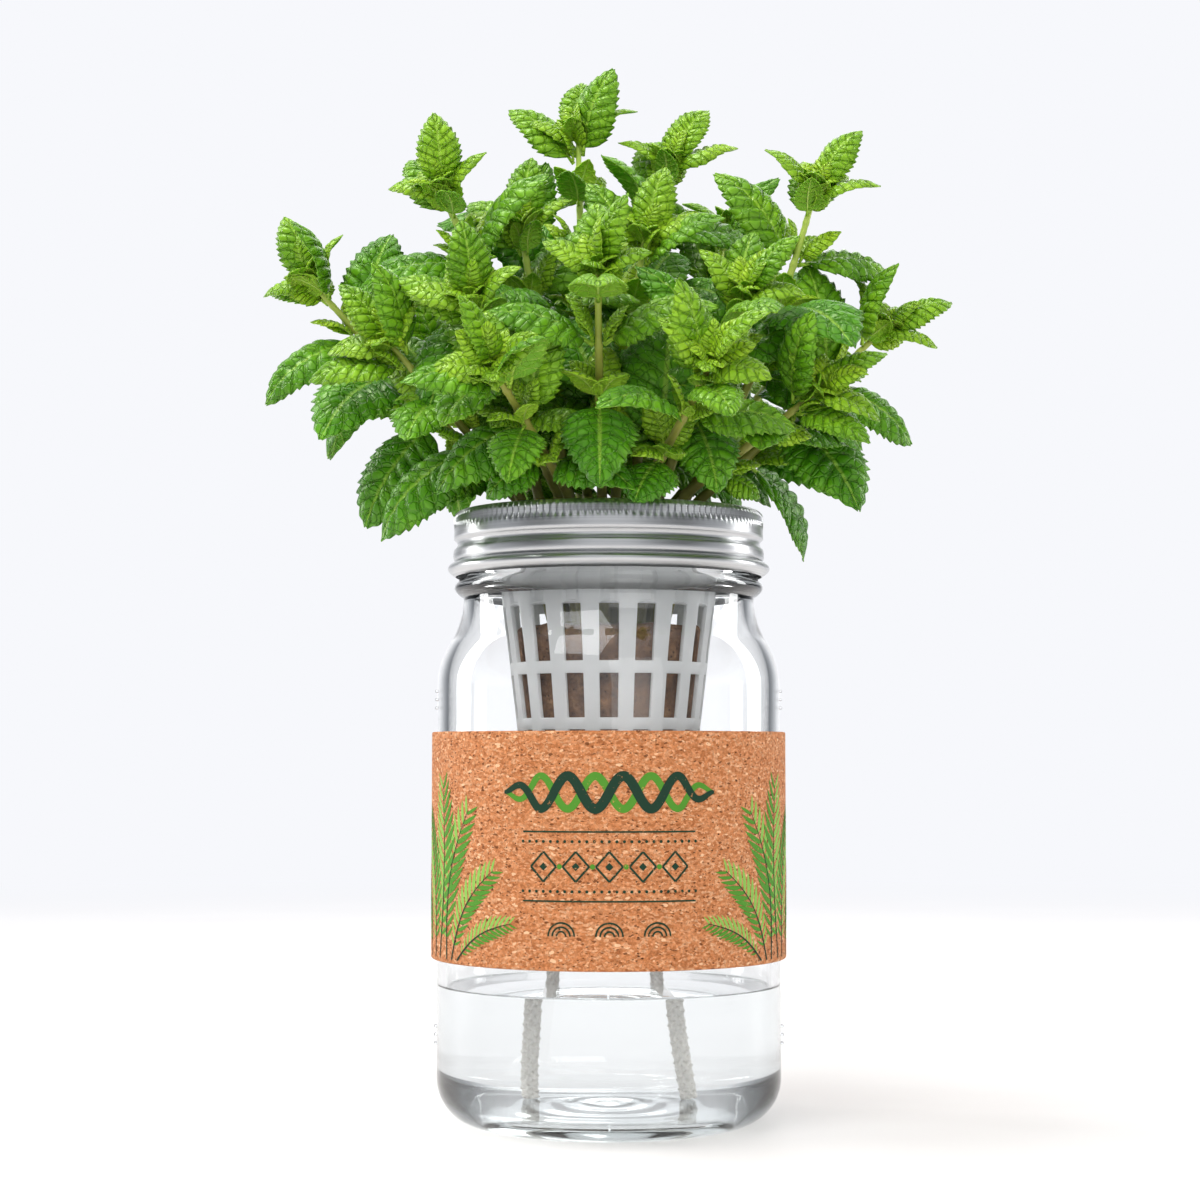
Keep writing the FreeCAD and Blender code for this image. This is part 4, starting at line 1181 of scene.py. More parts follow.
# %% Lozenges
LOZENGES = 5
LOZENGE_PITCH = 9.0
LOZENGE_LEVEL = 74.7
LOZENGE_HALF = 3.6
LOZENGE_RISE = 4.0
LOZENGE_LINE = 0.28
LOZENGE_HEART = 1.1
LINK_DOT = 0.7


def lozenge_side(centre, side, rise):
    """One side of a lozenge, from its corner at a side to the one above or below."""
    return lambda share: (centre + side * (1 - share), LOZENGE_LEVEL + rise * share)


for index in range(LOZENGES):
    centre = LOZENGE_PITCH * (index - (LOZENGES - 1) / 2)
    for side in (LOZENGE_HALF, -LOZENGE_HALF):
        for rise in (LOZENGE_RISE, -LOZENGE_RISE):
            strip(dark_bm, lozenge_side(centre, side, rise), lambda share: LOZENGE_LINE, 4)
    disc(dark_bm, centre, LOZENGE_LEVEL, LOZENGE_HEART, 4)
for index in range(LOZENGES - 1):
    disc(mid_bm, LOZENGE_PITCH * (index - (LOZENGES - 2) / 2), LOZENGE_LEVEL, LINK_DOT, 16)
print("lozenges", LOZENGES)

# %% Small arches
ARCHES = 3
ARCH_PITCH = 13.0
ARCH_LEVEL = 56.2
ARCH_RADII = [3.6, 2.45, 1.3]
ARCH_LINE = 0.24


def arch_line(centre, radius):
    """Half a circle that stands on the arches' level."""
    return lambda share: (centre + radius * math.cos(math.pi * share),
                          ARCH_LEVEL + radius * math.sin(math.pi * share))


for index in range(ARCHES):
    centre = ARCH_PITCH * (index - (ARCHES - 1) / 2)
    for arch_radius in ARCH_RADII:
        strip(dark_bm, arch_line(centre, arch_radius), lambda share: ARCH_LINE, 24)
print("ornament faces", len(dark_bm.faces) + len(mid_bm.faces))

# %% Fern fronds at both sides
FROND_PAIRS = 13
FROND_RIB = 0.30
FROND_TAPER_SHARE = 0.7
FROND_FOOT = LABEL_BOTTOM + 1.2
FIRST_LEAFLET_SHARE = 0.14
LEAFLETS_SPAN_SHARE = 0.84
LEAFLET_ANGLE = math.radians(66)
LEAFLET_CLOSING = math.radians(22)
LEAFLET_LEAST = 0.02
LEAFLET_WIDTH_SHARE = 0.115
LEAFLET_BOW_SHARE = 0.30
RIB_PEEP = 0.02
FRONDS = [
    # foot and tip across, tip above the foot, sag, leaflet length
    (52, 34, 25, -3.0, 6.0), (55, 44, 41, -4.0, 7.6), (60, 58, 48, 2.0, 8.2),
    (64, 73, 39, 3.5, 7.6), (49, 28, 11, -2.0, 4.2), (69, 86, 27, 3.0, 6.2),
]


def leaflet_strip(bm, foot, out, ahead, reach):
    """One slender leaflet that starts at a foot, runs outwards and bows ahead."""
    def line(share):
        return foot + out * reach * share + ahead * reach * LEAFLET_BOW_SHARE * share ** 2

    def half_width(share):
        swell = math.sin(math.pi * min(1.0, 0.10 + 0.90 * share)) ** 0.8
        return max(LEAFLET_LEAST, LEAFLET_WIDTH_SHARE * reach * swell)

    strip(bm, line, half_width, 6)


def frond(inks, foot, tip, sag, leaflet):
    """A fern frond: a thin bowed rib with pairs of slender leaflets that shrink towards its tip."""
    foot, tip = Vector(foot), Vector(tip)
    run = tip - foot
    normal = Vector((-run.y, run.x)).normalized()

    def rib(share):
        return foot + run * share + normal * sag * math.sin(math.pi * share)

    strip(inks[0], rib, lambda share: FROND_RIB * (1 - FROND_TAPER_SHARE * share), 30)
    for index in range(FROND_PAIRS):
        share = FIRST_LEAFLET_SHARE + LEAFLETS_SPAN_SHARE * index / (FROND_PAIRS - 1)
        ahead = (rib(min(share + RIB_PEEP, 1.0)) - rib(share - RIB_PEEP)).normalized()
        reach = leaflet * math.sin(math.pi * (0.16 + 0.78 * (1 - share))) ** 0.9
        for side in (1, -1):
            out = Matrix.Rotation(side * (LEAFLET_ANGLE - LEAFLET_CLOSING * share), 2) @ ahead
            leaflet_strip(inks[1 if side > 0 else 2], rib(share), out, ahead, reach)


for side in (1, -1):
    frond_inks = (dark_bm, mid_bm, light_bm) if side > 0 else (dark_bm, light_bm, mid_bm)
    for foot_x, tip_x, rise, sag, leaflet in FRONDS:
        frond(frond_inks, (side * foot_x, FROND_FOOT), (side * tip_x, FROND_FOOT + rise), side * sag, leaflet)
print_piece("print_dark", dark_bm, "dark", PRINT_LIFT * 3)
print_piece("print_mid", mid_bm, "mid", PRINT_LIFT * 2)
print_piece("print_light", light_bm, "light", PRINT_LIFT)

# %% [markdown]
# ## The stems
# The solid stems are straight lengths between swollen nodes. A copy of each is merged, rebuilt
# with small even faces and smoothed, which gives the soft, slightly kinked line of a shoot.

# %% Stem material
# Herb stem: fresh green towards the tip, olive and reddish brown lower down, with fine grooves.
STEM_LOW = 172 * MM
STEM_HIGH = 270 * MM
STEM_MOTTLE = 4 * MM
GROOVE_WIDTH = 0.5 * MM
GROOVE_RUN = 9 * MM
GROOVE_CUT = 0.2 * MM
herb_stem, tree = new_material("herb_stem_skin")
stem_spot = add(tree, "ShaderNodeTexCoord").outputs["Object"]
stem_way = add(tree, "ShaderNodeSeparateXYZ", {"Vector": stem_spot})
stem_height = add(tree, "ShaderNodeMapRange", {
    "Value": stem_way.outputs["Z"], "From Min": STEM_LOW, "From Max": STEM_HIGH})
stem_noise = add(tree, "ShaderNodeTexNoise", {"Vector": stem_spot, "Scale": 1 / STEM_MOTTLE, "Detail": 3.0})
centred = add(tree, "ShaderNodeMath", {0: stem_noise, 1: 0.5}, operation="SUBTRACT")
stem_place = add(tree, "ShaderNodeMath", {0: centred, 1: 0.35, 2: stem_height}, operation="MULTIPLY_ADD")
stem_tone = add(tree, "ShaderNodeValToRGB", {"Fac": stem_place},
                stops=[(0.0, "7A7638"), (0.3, "94963F"), (0.6, "A6B74B"), (1.0, "B6CF5C")])
grooved = add(tree, "ShaderNodeMapping", {
    "Vector": stem_spot, "Scale": (1 / GROOVE_WIDTH, 1 / GROOVE_WIDTH, 1 / GROOVE_RUN)})
groove_noise = add(tree, "ShaderNodeTexNoise", {"Vector": grooved, "Scale": 1.0, "Detail": 2.0})
stem_bump = add(tree, "ShaderNodeBump", {"Strength": 0.35, "Distance": GROOVE_CUT, "Height": groove_noise})
stem_skin = add(tree, "ShaderNodeBsdfPrincipled", {
    "Base Color": stem_tone, "Roughness": 0.5, "Subsurface Weight": 0.1,
    "Subsurface Radius": (1.0 * MM, 1.5 * MM, 0.4 * MM), "Subsurface Scale": 1.0, "Normal": stem_bump})
add(tree, "ShaderNodeOutputMaterial", {"Surface": stem_skin})

# %% Smooth each stem
STEM_GRID = 0.55 * MM
STEM_SMOOTHING = 6
SMOOTHING_SHARE = 0.5
COPY_DOUBLES = 0.005 * MM


def smooth_stem(node_name):
    """A smooth skin over the solid stem."""
    bm = bmesh.new()
    bm.from_mesh(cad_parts[node_name].data)
    bmesh.ops.remove_doubles(bm, verts=bm.verts, dist=COPY_DOUBLES)
    piece = finish_piece(bm, node_name + "_skin", "plant", herb_stem, [node_name], 180)
    grid = piece.modifiers.new("even_faces", "REMESH")
    grid.mode = "VOXEL"
    grid.voxel_size = STEM_GRID
    grid.use_smooth_shade = True
    relax = piece.modifiers.new("relax", "SMOOTH")
    relax.factor = SMOOTHING_SHARE
    relax.iterations = STEM_SMOOTHING
    return piece


stem_names = [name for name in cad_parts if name.startswith("stem_")]
for stem_name in stem_names:
    smooth_stem(stem_name)
print("stems", len(stem_names))

# %% [markdown]
# ## The leaves
# Each solid leaf is a plain arched blade. Its place and size are read from the frame: where it
# joins the stem, where its tip is, and which side is its upper one. On that place goes a real
# leaf: a grid shaped to an ovate blade with a toothed edge, puckered between its side veins, with
# a short stalk. Small young leaves sit in each leaf's corner and crowd at each stem's tip.

# %% Leaf veins
# The veins follow the leaf's own map: u along it, v across it.
VEIN_PAIRS = 7.0
VEIN_SLANT = 1.3
VEIN_BOW = 0.85
NET_VEIN = 2.7 * MM
LEAF_GLOW = (0.8 * MM, 1.4 * MM, 0.2 * MM)


def leaf_veins(tree):
    """The vein masks of a leaf, each from 0 to 1, and its object coordinates."""
    leaf_map = add(tree, "ShaderNodeUVMap", uv_map="leaf_map")
    place = add(tree, "ShaderNodeSeparateXYZ", {"Vector": leaf_map})
    centred = add(tree, "ShaderNodeMath", {0: place.outputs["Y"], 1: 2.0, 2: -1.0}, operation="MULTIPLY_ADD")
    across = add(tree, "ShaderNodeMath", {0: centred}, operation="ABSOLUTE")
    bowed = add(tree, "ShaderNodeMath", {0: across, 1: VEIN_BOW}, operation="POWER")
    slant = add(tree, "ShaderNodeMath", {0: bowed, 1: VEIN_SLANT}, operation="MULTIPLY")
    along = add(tree, "ShaderNodeMath", {0: place.outputs["X"], 1: VEIN_PAIRS}, operation="MULTIPLY")
    phase = add(tree, "ShaderNodeMath", {0: along, 1: slant}, operation="SUBTRACT")
    cycle = add(tree, "ShaderNodeMath", {0: phase}, operation="FRACT")
    offset = add(tree, "ShaderNodeMath", {0: cycle, 1: 0.5}, operation="SUBTRACT")
    wave = add(tree, "ShaderNodeMath", {0: offset}, operation="ABSOLUTE")
    leaf_spot = add(tree, "ShaderNodeTexCoord").outputs["Object"]
    net = add(tree, "ShaderNodeTexVoronoi", {"Vector": leaf_spot, "Scale": 1 / NET_VEIN},
              feature="DISTANCE_TO_EDGE")
    masks = []
    for source, low, high in [(wave, 0.35, 0.5), (wave, 0.45, 0.5), (across, 0.085, 0.02), (net, 0.12, 0.0)]:
        masks.append(add(tree, "ShaderNodeMapRange", {"Value": source, "From Min": low, "From Max": high},
                         interpolation_type="SMOOTHSTEP"))
    return masks, leaf_spot


# %% Leaf upper side
# A mint-like leaf: glossy green, swollen between sunk veins, with a lighter midrib. Young leaves
# are yellower. Painted shade darkens the sunk side veins and the fine net between them, the net
# less on young leaves.
BLOTCH = 11 * MM
QUILT_DEPTH = 0.6 * MM
herb_leaf, tree = new_material("quilted_herb_leaf")
(side_vein, vein_line, midrib, net_vein), leaf_spot = leaf_veins(tree)
youth = add(tree, "ShaderNodeAttribute", attribute_name="youth").outputs["Fac"]
blotch = add(tree, "ShaderNodeTexNoise", {"Vector": leaf_spot, "Scale": 1 / BLOTCH, "Detail": 3.0})
old_green = add(tree, "ShaderNodeValToRGB", {"Fac": blotch},
                stops=[(0.3, "36720A"), (0.52, "4D8B10"), (0.75, "6AA61E")])
young_green = add(tree, "ShaderNodeValToRGB", {"Fac": blotch}, stops=[(0.3, "87B41A"), (0.7, "B0D030")])
blade = add(tree, "ShaderNodeMix", {0: youth, 6: old_green, 7: young_green}, data_type="RGBA").outputs[2]
# Painted shade: the side veins, sunk by the bump, are darkened towards a deep green.
side_vein_shade = add(tree, "ShaderNodeMath", {0: side_vein, 1: 0.48}, operation="MULTIPLY")
blade = add(tree, "ShaderNodeMix", {0: side_vein_shade, 6: blade, 7: "175206"}, data_type="RGBA").outputs[2]
# Painted shade: the fine net of veins is darkened too, more on old leaves than on young ones.
net_shade_strength = add(tree, "ShaderNodeMath", {0: youth, 1: -0.2, 2: 0.4}, operation="MULTIPLY_ADD")
net_vein_shade = add(tree, "ShaderNodeMath", {0: net_vein, 1: net_shade_strength}, operation="MULTIPLY")
blade = add(tree, "ShaderNodeMix", {0: net_vein_shade, 6: blade, 7: "1B5A08"}, data_type="RGBA").outputs[2]
faint_lines = add(tree, "ShaderNodeMath", {0: vein_line, 1: 0.30}, operation="MULTIPLY")
light_veins = add(tree, "ShaderNodeMath", {0: midrib, 1: faint_lines}, operation="MAXIMUM")
light_share = add(tree, "ShaderNodeMath", {0: light_veins, 1: 0.55}, operation="MULTIPLY")
blade = add(tree, "ShaderNodeMix", {0: light_share, 6: blade, 7: "A6CE4E"}, data_type="RGBA").outputs[2]
sunk_sides = add(tree, "ShaderNodeMath", {0: side_vein, 1: 0.55}, operation="MULTIPLY")
sunk = add(tree, "ShaderNodeMath", {0: net_vein, 1: 0.45, 2: sunk_sides}, operation="MULTIPLY_ADD")
swollen = add(tree, "ShaderNodeMath", {0: 1.0, 1: sunk}, operation="SUBTRACT")
leaf_bump = add(tree, "ShaderNodeBump", {"Strength": 1.0, "Distance": QUILT_DEPTH, "Height": swollen})
leaf_skin = add(tree, "ShaderNodeBsdfPrincipled", {
    "Base Color": blade, "Roughness": 0.36, "Specular IOR Level": 0.65, "Specular Tint": "EAF6C0",
    "Subsurface Weight": 0.10, "Subsurface Radius": LEAF_GLOW, "Subsurface Scale": 1.0, "Normal": leaf_bump})
add(tree, "ShaderNodeOutputMaterial", {"Surface": leaf_skin})

# %% Leaf underside
# The lower side is yellower, lighter and matt, and the same veins stand out of it as pale lines.
UNDER_BLOTCH = 8 * MM
RAISED_VEIN = 0.6 * MM
leaf_under, tree = new_material("pale_leaf_underside")
(side_vein, vein_line, midrib, net_vein), leaf_spot = leaf_veins(tree)
youth = add(tree, "ShaderNodeAttribute", attribute_name="youth").outputs["Fac"]
blotch = add(tree, "ShaderNodeTexNoise", {"Vector": leaf_spot, "Scale": 1 / UNDER_BLOTCH, "Detail": 3.0})
old_under = add(tree, "ShaderNodeValToRGB", {"Fac": blotch}, stops=[(0.3, "5A9420"), (0.7, "7BB033")])
young_under = add(tree, "ShaderNodeValToRGB", {"Fac": blotch}, stops=[(0.3, "9ACB2A"), (0.7, "BEE044")])
under = add(tree, "ShaderNodeMix", {0: youth, 6: old_under, 7: young_under}, data_type="RGBA").outputs[2]
side_lines = add(tree, "ShaderNodeMath", {0: vein_line, 1: 0.8}, operation="MULTIPLY")
raised = add(tree, "ShaderNodeMath", {0: midrib, 1: side_lines}, operation="MAXIMUM")
all_veins = add(tree, "ShaderNodeMath", {0: side_vein, 1: net_vein}, operation="MAXIMUM")
hollow_share = add(tree, "ShaderNodeMath", {0: all_veins, 1: -0.30, 2: 0.30}, operation="MULTIPLY_ADD")
under = add(tree, "ShaderNodeMix", {0: hollow_share, 6: under, 7: "3F7A14"}, data_type="RGBA").outputs[2]
raised_share = add(tree, "ShaderNodeMath", {0: raised, 1: 0.65}, operation="MULTIPLY")
under = add(tree, "ShaderNodeMix", {0: raised_share, 6: under, 7: "CBE27C"}, data_type="RGBA").outputs[2]
low_net = add(tree, "ShaderNodeMath", {0: net_vein, 1: 0.5}, operation="MULTIPLY")
vein_height = add(tree, "ShaderNodeMath", {0: raised, 1: low_net}, operation="MAXIMUM")
under_bump = add(tree, "ShaderNodeBump", {"Strength": 0.8, "Distance": RAISED_VEIN, "Height": vein_height})
under_skin = add(tree, "ShaderNodeBsdfPrincipled", {
    "Base Color": under, "Roughness": 0.5, "Specular Tint": "EAF6C0", "Subsurface Weight": 0.15,
    "Subsurface Radius": LEAF_GLOW, "Subsurface Scale": 1.0, "Normal": under_bump})
add(tree, "ShaderNodeOutputMaterial", {"Surface": under_skin})

# %% Read the leaves' places
END_BAND = 0.35 * MM
TIP_REACH = 1.2 * MM
GROWTH_REACH = 14 * MM
LEAST_RUN = 2 * MM


def islands(bm):
    """The separate shells of a mesh, as lists of faces. A shell's list grows while it is read."""
    seen = set()
    shells = []
    for start in bm.faces:
        if start in seen:
            continue
        seen.add(start)
        shell = [start]
        for face in shell:
            for edge in face.edges:
                for other in edge.link_faces:
                    if other not in seen:
                        seen.add(other)
                        shell.append(other)
        shells.append(shell)
    return shells


class StemSkin:
    """A stem's surface points: how near one is, and which way the stem grows there."""

    def __init__(self, name):
        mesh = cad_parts[name].data
        self.spots = [vertex.co.copy() for vertex in mesh.vertices]
        self.tree = kdtree.KDTree(len(self.spots))
        for index, spot in enumerate(self.spots):
            self.tree.insert(spot, index)
        self.tree.balance()
        foot = min(self.spots, key=lambda spot: spot.z)
        far = max(self.spots, key=lambda spot: (spot - foot).length)
        near = [spot for spot in self.spots if (spot - far).length < TIP_REACH]
        self.tip = sum(near, Vector()) / len(near)
        self.foot = foot

    def distance(self, spot):
        """How far a place is from the nearest point of the stem."""
        return self.tree.find(spot)[2]

    def growth(self, spot):
        """The stem's direction near a place, towards its tip."""
        near = [found[0] for found in self.tree.find_range(spot, GROWTH_REACH)]
        low = min(near, key=lambda point: (point - self.foot).length)
        high = max(near, key=lambda point: (point - self.foot).length)
        run = high - low
        return run.normalized() if run.length > LEAST_RUN else Vector((0, 0, 1))


def leaf_place(faces, stem):
    """Root, tip, upper side and half width of one solid leaf."""
    spots = [vertex.co.copy() for vertex in dict.fromkeys(vertex for face in faces for vertex in face.verts)]
    centre = sum(spots, Vector()) / len(spots)
    first = max(spots, key=lambda spot: (spot - centre).length)
    last = max(spots, key=lambda spot: (spot - first).length)
    run = (last - first).normalized()
    low = min(spot.dot(run) for spot in spots)
    high = max(spot.dot(run) for spot in spots)
    ends = []
    for edge_value in (low, high):
        near = [spot for spot in spots if abs(spot.dot(run) - edge_value) < END_BAND]
        ends.append(sum(near, Vector()) / len(near))
    ends.sort(key=stem.distance)
    root, tip = ends
    heading = (tip - root).normalized()
    area = sum(face.calc_area() for face in faces)
    middle = sum((face.calc_center_median() * face.calc_area() for face in faces), Vector()) / area
    bow = middle - (root + tip) / 2
    upper = (bow - heading * bow.dot(heading)).normalized()
    across = upper.cross(heading).normalized()
    half = max(abs((spot - root).dot(across)) for spot in spots)
    return root, tip, upper, half

# %% Outline and bends of a blade
STALK_SHARE = 0.09
BLADE_RUN_SHARE = 0.985
ARCH_SHARE = 0.10
WIDEST_SHARE = 0.37
LONGEST_LEAF = 37 * MM
LEAST_HALF = 0.5 * MM
# A tooth rises over most of its length, leans forward, and stands out from the edge by a share.
TOOTH_RISE_SHARE = 0.78
TOOTH_LEAN_SHARE = 0.016
TOOTH_DEPTH_SHARE = 0.16
TOOTH_MIDDLE = 0.55
TOOTH_FADE = 6
EDGE_POWER = 4
# Between its side veins the blade swells, but not at its midrib, its edge or its ends.
PUCKER_DEPTH = 1.7 * MM
PUCKER_BLUNTNESS = 0.65
PUCKER_AT_MIDRIB = 4.5
PUCKER_AT_ENDS = 5
# Chance folds a blade up at its midrib, lets its sides hang, twists it, curls its tip and waves its edge.
FOLD = (-0.02, 0.24)
HANG = (0.18, 0.42)
HANG_POWER = 2.4
TWIST = (-0.35, 0.35)
CURL_SHARES = (0.02, 0.10)
CURL_START = 0.55
EDGE_WAVE = (0.25 * MM, 0.7 * MM)
EDGE_WAVE_TURN = 10
EDGE_WAVE_OFFSET = 1.5
WIDENING = (1.02, 1.14)


def blade_half(share):
    """The blade's half width, from 0 at the stalk to 1 at its widest."""
    if share <= 0 or share >= 1:
        return 0.0
    before = share / WIDEST_SHARE
    after = (1 - share) / (1 - WIDEST_SHARE)
    return before ** 0.5 * after ** 0.76 * (1.05 - 0.05 * before)


class Blade:
    """One blade: its size, and the bends that chance gives it."""

    def __init__(self, length, half, teeth, dice):
        self.length = length
        self.size = length / LONGEST_LEAF
        self.teeth = teeth
        self.fold = dice.uniform(*FOLD)
        self.hang = dice.uniform(*HANG)
        self.twist = dice.uniform(*TWIST)
        self.curl = dice.uniform(*CURL_SHARES) * length
        self.wave = dice.uniform(*EDGE_WAVE) * self.size
        self.phase = dice.uniform(0, TURN)
        self.half = half * dice.uniform(*WIDENING)
        self.pucker = PUCKER_DEPTH * self.size ** 0.8

    def place(self, along, blade_share, side):
        """How far ahead, aside and up a point lies. Its side runs from -1 to 1 across the blade."""
        off_midrib = abs(side)
        edge = off_midrib ** EDGE_POWER
        tooth = (blade_share * (self.teeth + 0.5)) % 1.0
        tooth_rise = min(tooth / TOOTH_RISE_SHARE, (1 - tooth) / (1 - TOOTH_RISE_SHARE))
        toothed = edge * min(1.0, max(0.0, blade_share) * TOOTH_FADE)
        width = blade_half(blade_share) * self.half
        width *= 1 + TOOTH_DEPTH_SHARE * (tooth_rise - TOOTH_MIDDLE) * toothed
        width = max(width, LEAST_HALF * self.size)
        ahead = self.length * (along * BLADE_RUN_SHARE + tooth_rise * TOOTH_LEAN_SHARE * toothed)
        vein = blade_share * VEIN_PAIRS - off_midrib ** VEIN_BOW * VEIN_SLANT
        swell = abs(math.sin(math.pi * vein)) ** PUCKER_BLUNTNESS * (1 - edge)
        swell *= min(1.0, off_midrib * PUCKER_AT_MIDRIB) * min(1.0, max(0.0, blade_share) * PUCKER_AT_ENDS)
        swell *= min(1.0, (1 - blade_share) * PUCKER_AT_ENDS)
        up = 4 * ARCH_SHARE * self.length * along * (1 - along) + self.pucker * swell
        up += (self.fold * off_midrib - self.hang * off_midrib ** HANG_POWER) * width
        phase = self.phase + (EDGE_WAVE_OFFSET if side > 0 else 0)
        up += self.wave * edge * math.sin(phase + blade_share * EDGE_WAVE_TURN)
        up += self.twist * (along - 0.5) * side * width
        up -= self.curl * max(0.0, along - CURL_START) ** 2 * 4
        return ahead, side * width, up


# %% Shape one leaf
TEETH = 11
TOOTH_ROWS = 5
STALK_ROWS = 6
BLADE_COLUMNS = 14
STALK_ROOT_RADIUS = 0.8 * MM
STALK_END_RADIUS = 0.5 * MM
STALK_SUNK = 0.3 * MM
STALK_OVERLAP = 1.7
STALK_RISE = 0.25
STALK_SIDES = 7
STALK_YOUTH = 0.6
MIDRIB_UV = (0.5, 0.5)


def add_stalk(bm, layers, root, heading, upper, length, youth_value):
    """A leaf's short stalk, which tapers from the stem into the blade."""
    uv_layer, youth_layer = layers
    run = STALK_SHARE * length * STALK_OVERLAP
    way = (heading + upper * STALK_RISE).normalized()
    thickness = 0.4 + 0.6 * length / LONGEST_LEAF
    place = Matrix.Translation(root - heading * STALK_SUNK + way * run / 2)
    turn = way.to_track_quat("Z", "Y").to_matrix().to_4x4()
    stalk = bmesh.ops.create_cone(bm, cap_ends=True, segments=STALK_SIDES, depth=run, matrix=place @ turn,
                                  radius1=STALK_ROOT_RADIUS * thickness, radius2=STALK_END_RADIUS * thickness)
    for vertex in stalk["verts"]:
        vertex[youth_layer] = min(1.0, youth_value + STALK_YOUTH)
    for face in faces_of(stalk["verts"]):
        for loop in face.loops:
            loop[uv_layer].uv = MIDRIB_UV


def add_leaf(bm, layers, root, tip, upper, half, dice, youth_value, columns, rows_a_tooth, teeth):
    """A toothed and puckered blade with its stalk."""
    heading = (tip - root).normalized()
    across = upper.cross(heading).normalized()
    length = (tip - root).length
    blade = Blade(length, half, teeth, dice)
    uv_layer, youth_layer = layers
    rows = teeth * rows_a_tooth + STALK_ROWS
    made = bmesh.ops.create_grid(bm, x_segments=rows, y_segments=columns, size=0.5)
    map_places = {}
    for vertex in made["verts"]:
        along = vertex.co.x + 0.5
        side = vertex.co.y * 2
        blade_share = (along - STALK_SHARE) / (1 - STALK_SHARE)
        ahead, aside, up = blade.place(along, blade_share, side)
        map_places[vertex] = (blade_share, side / 2 + 0.5)
        vertex.co = root + heading * ahead + across * aside + upper * up
        vertex[youth_layer] = youth_value
    for face in faces_of(made["verts"]):
        for loop in face.loops:
            loop[uv_layer].uv = map_places[loop.vert]
    add_stalk(bm, layers, root, heading, upper, length, youth_value)


YOUNG_HALF_SHARE = 0.30
YOUNG_COLUMNS = 8
YOUNG_TOOTH_ROWS = 3
YOUNG_TEETH = 6


def add_young_leaf(bm, layers, root, heading, upper, length, dice, youth_value):
    """A small leaf of a given length that starts at a root and rises along a heading."""
    heading = heading.normalized()
    upper = (upper - heading * upper.dot(heading)).normalized()
    add_leaf(bm, layers, root, root + heading * length, upper, length * YOUNG_HALF_SHARE, dice, youth_value,
             YOUNG_COLUMNS, YOUNG_TOOTH_ROWS, YOUNG_TEETH)

# %% Fit a leaf to its place
LEAF_THICKNESS = 0.3
LONG_LEAF_LEVEL = 195 * MM
YOUNG_LEVEL = 200 * MM
FRONT_LEVEL = 177 * MM
FRONT_HALF = 53 * MM
RISING = 0.3
BACK_SHOWN = 0.25
LEAST_KEPT = 0.5
BACK_SHOWN_SHARES = (0.55, 0.6)
LONG_LEAF_SHARES = (1.14, 1.08)


def fitted(root, tip, upper, half):
    """The tip and half width that a leaf gets at its place."""
    run = tip - root
    # A leaf that shows its back to the front stays small, and one in front of the band stays above it.
    if run.normalized().z > RISING and upper.y > BACK_SHOWN and root.z > YOUNG_LEVEL:
        return root + run * BACK_SHOWN_SHARES[0], half * BACK_SHOWN_SHARES[1]
    if tip.z < FRONT_LEVEL and tip.y < 0 and abs(tip.x) < FRONT_HALF:
        keep = max(LEAST_KEPT, min(1.0, (root.z - FRONT_LEVEL) / max(root.z - tip.z, MM)))
        return root + run * keep, half * (0.4 + 0.6 * keep)
    if tip.z > LONG_LEAF_LEVEL:
        return root + run * LONG_LEAF_SHARES[0], half * LONG_LEAF_SHARES[1]
    return tip, half


def stray(dice, amount):
    """A small random sidestep."""
    return Vector((dice.uniform(-1, 1), dice.uniform(-1, 1), dice.uniform(-1, 1))) * amount


# %% Young leaves in the corners and at the tips
CORNER_LIFT = 1.2 * MM
CORNER_STRAY = 0.15
CORNER_SHARES = (0.26, 0.46)
CORNER_UP = (0.55, 0.9)
CORNER_OUT = (0.35, 0.8)
CORNER_ASIDE = 0.5
CORNER_YOUTH = (0.45, 0.85)
CORNER_FACING = Vector((0, -0.3, 0.2))
# share of the longest leaf for the leaves at a stem's tip: its sides, its back and its front
TIP_RING_SHARES = [(0.54, 0.44, 0.30), (0.34, 0.34, 0.22), (0.22, 0.24, 0.16)]
TIP_COUNTS = (4, 4, 2)
TIP_SUNK = 2.4
TIP_LEAN = 1.9
TIP_LEAN_LOSS = 0.55
TIP_BACK_RISE = 0.45
TIP_RING_TURN = 0.8
TIP_TURN_STRAY = (-0.2, 0.2)
TIP_LENGTH_STRAY = (0.9, 1.1)
TIP_FACING = Vector((0, -0.45, 0))


def add_corner_leaves(bm, layers, root, heading, growth, size, dice):
    """Two young leaves in the corner between a leaf and its stem."""
    across = growth.cross(heading).normalized()
    for side in (-1, 1):
        rise = growth * dice.uniform(*CORNER_UP) + heading * dice.uniform(*CORNER_OUT)
        rise += across * side * CORNER_ASIDE + stray(dice, CORNER_STRAY)
        upper = growth * 0.6 - heading * 0.5 + CORNER_FACING
        length = dice.uniform(*CORNER_SHARES) * LONGEST_LEAF * (0.6 + 0.4 * size)
        add_young_leaf(bm, layers, root + growth * CORNER_LIFT, rise, upper, length, dice,
                       dice.uniform(*CORNER_YOUTH))


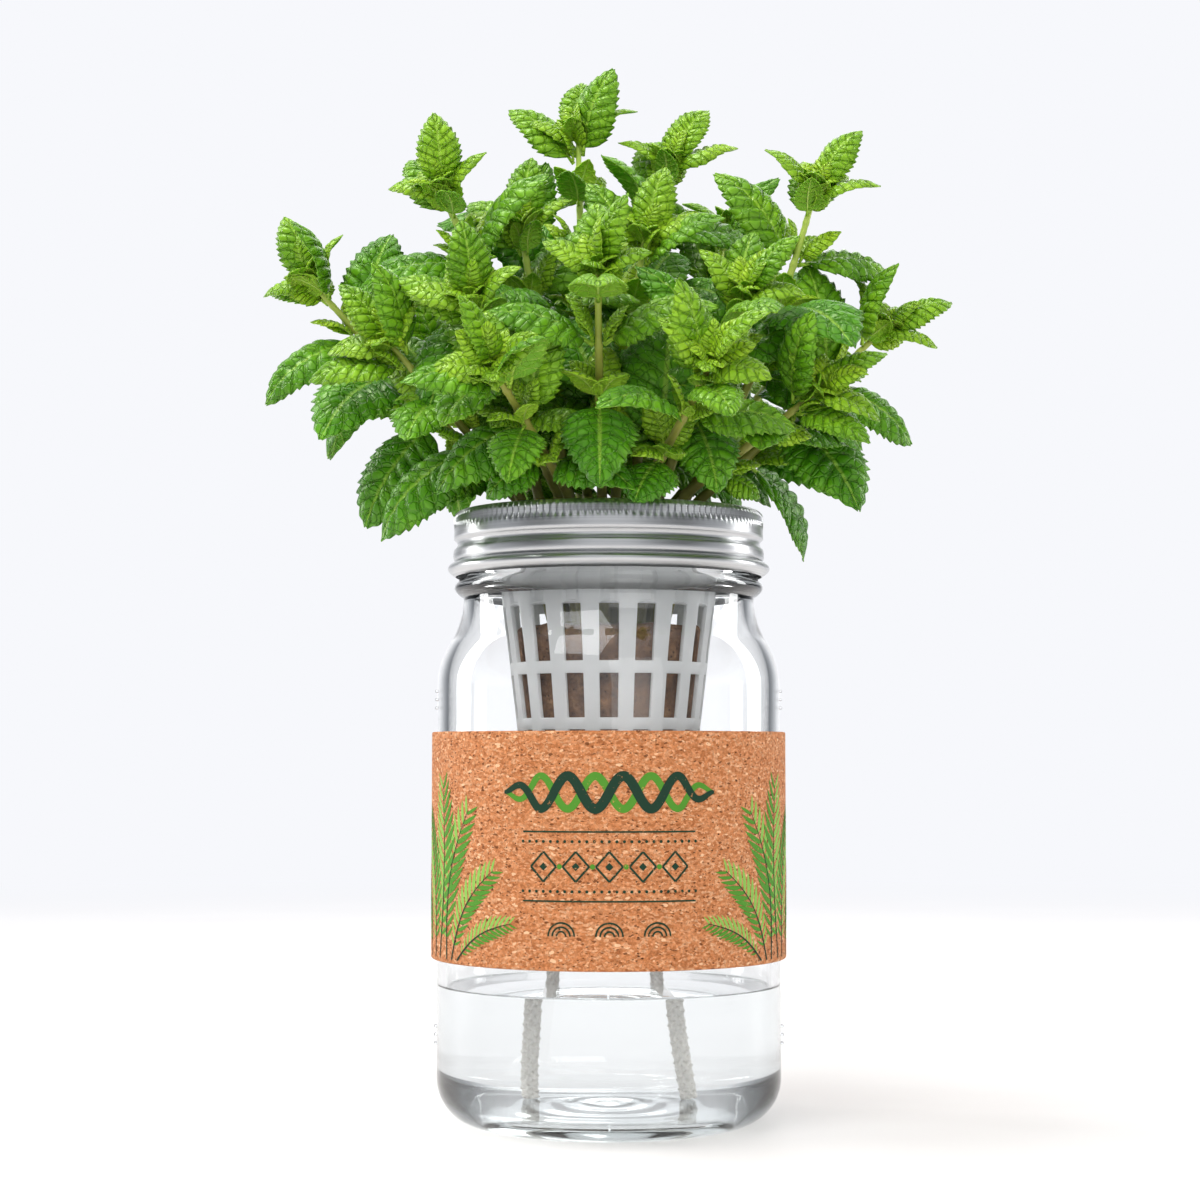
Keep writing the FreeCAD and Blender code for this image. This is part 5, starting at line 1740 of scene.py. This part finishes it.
def add_tip_leaves(bm, layers, stem, dice):
    """The crowded young leaves at a stem's tip, ring by ring."""
    growth = stem.growth(stem.tip)
    first = growth.cross(Vector((0.2, 1, 0.1))).normalized()
    second = growth.cross(first).normalized()
    for ring, (side_vein_shade, back_share, front_share) in enumerate(TIP_RING_SHARES):
        root = stem.tip - growth * (TIP_SUNK - ring) * MM
        for step in range(TIP_COUNTS[ring]):
            angle = TURN * step / TIP_COUNTS[ring] + TIP_RING_TURN * ring + dice.uniform(*TIP_TURN_STRAY)
            outward = first * math.cos(angle) + second * math.sin(angle)
            front = max(0.0, -outward.y)
            back = max(0.0, outward.y)
            share = side_vein_shade + (front_share - side_vein_shade) * front + (back_share - side_vein_shade) * back
            # The sides spread flat, the back stands up and the front leans out towards the light.
            lean = (TIP_LEAN - TIP_LEAN_LOSS * ring) * (1 - TIP_BACK_RISE * back)
            upper = growth - outward * 0.5 + TIP_FACING
            length = share * LONGEST_LEAF * dice.uniform(*TIP_LENGTH_STRAY)
            add_young_leaf(bm, layers, root, growth + outward * lean, upper, length, dice, 0.55 + 0.2 * ring)


# %% Grow every leaf
GROWN_SIZE = 0.92
YOUTH_SLOPE = 0.9
YOUTH_STRAY = (-0.12, 0.15)


def leaf_group(node_name):
    """All the leaves of one stem as one piece."""
    solid = bmesh.new()
    solid.from_mesh(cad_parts[node_name].data)
    bmesh.ops.remove_doubles(solid, verts=solid.verts, dist=COPY_DOUBLES)
    stem = StemSkin(node_name.replace("leaves_", "stem_"))
    dice = random.Random(node_name)
    bm = bmesh.new()
    layers = (bm.loops.layers.uv.new("leaf_map"), bm.verts.layers.float.new("youth"))
    places = [leaf_place(shell, stem) for shell in islands(solid)]
    places.sort(key=lambda place: (round(place[0].z, 5), round(place[0].x, 5)))
    solid.free()
    for root, tip, upper, half in places:
        size = (tip - root).length / LONGEST_LEAF
        heading = (tip - root).normalized()
        youth_value = min(1.0, max(0.0, (GROWN_SIZE - size) * YOUTH_SLOPE + dice.uniform(*YOUTH_STRAY)))
        tip, half = fitted(root, tip, upper, half)
        add_leaf(bm, layers, root, tip, upper, half, dice, youth_value, BLADE_COLUMNS, TOOTH_ROWS, TEETH)
        add_corner_leaves(bm, layers, root, heading, stem.growth(root), size, dice)
    add_tip_leaves(bm, layers, stem, dice)
    piece = finish_piece(bm, node_name + "_blades", "plant", herb_leaf, [node_name], 180,
                         outward=False)
    piece.data.materials.append(leaf_under)
    skin = piece.modifiers.new("blade", "SOLIDIFY")
    skin.thickness = LEAF_THICKNESS * MM
    skin.offset = -1.0
    skin.material_offset = 1
    skin.material_offset_rim = 1
    return len(places)


leaf_names = [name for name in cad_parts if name.startswith("leaves_")]
leaf_total = sum(leaf_group(name) for name in leaf_names)
print("leaves", leaf_total)
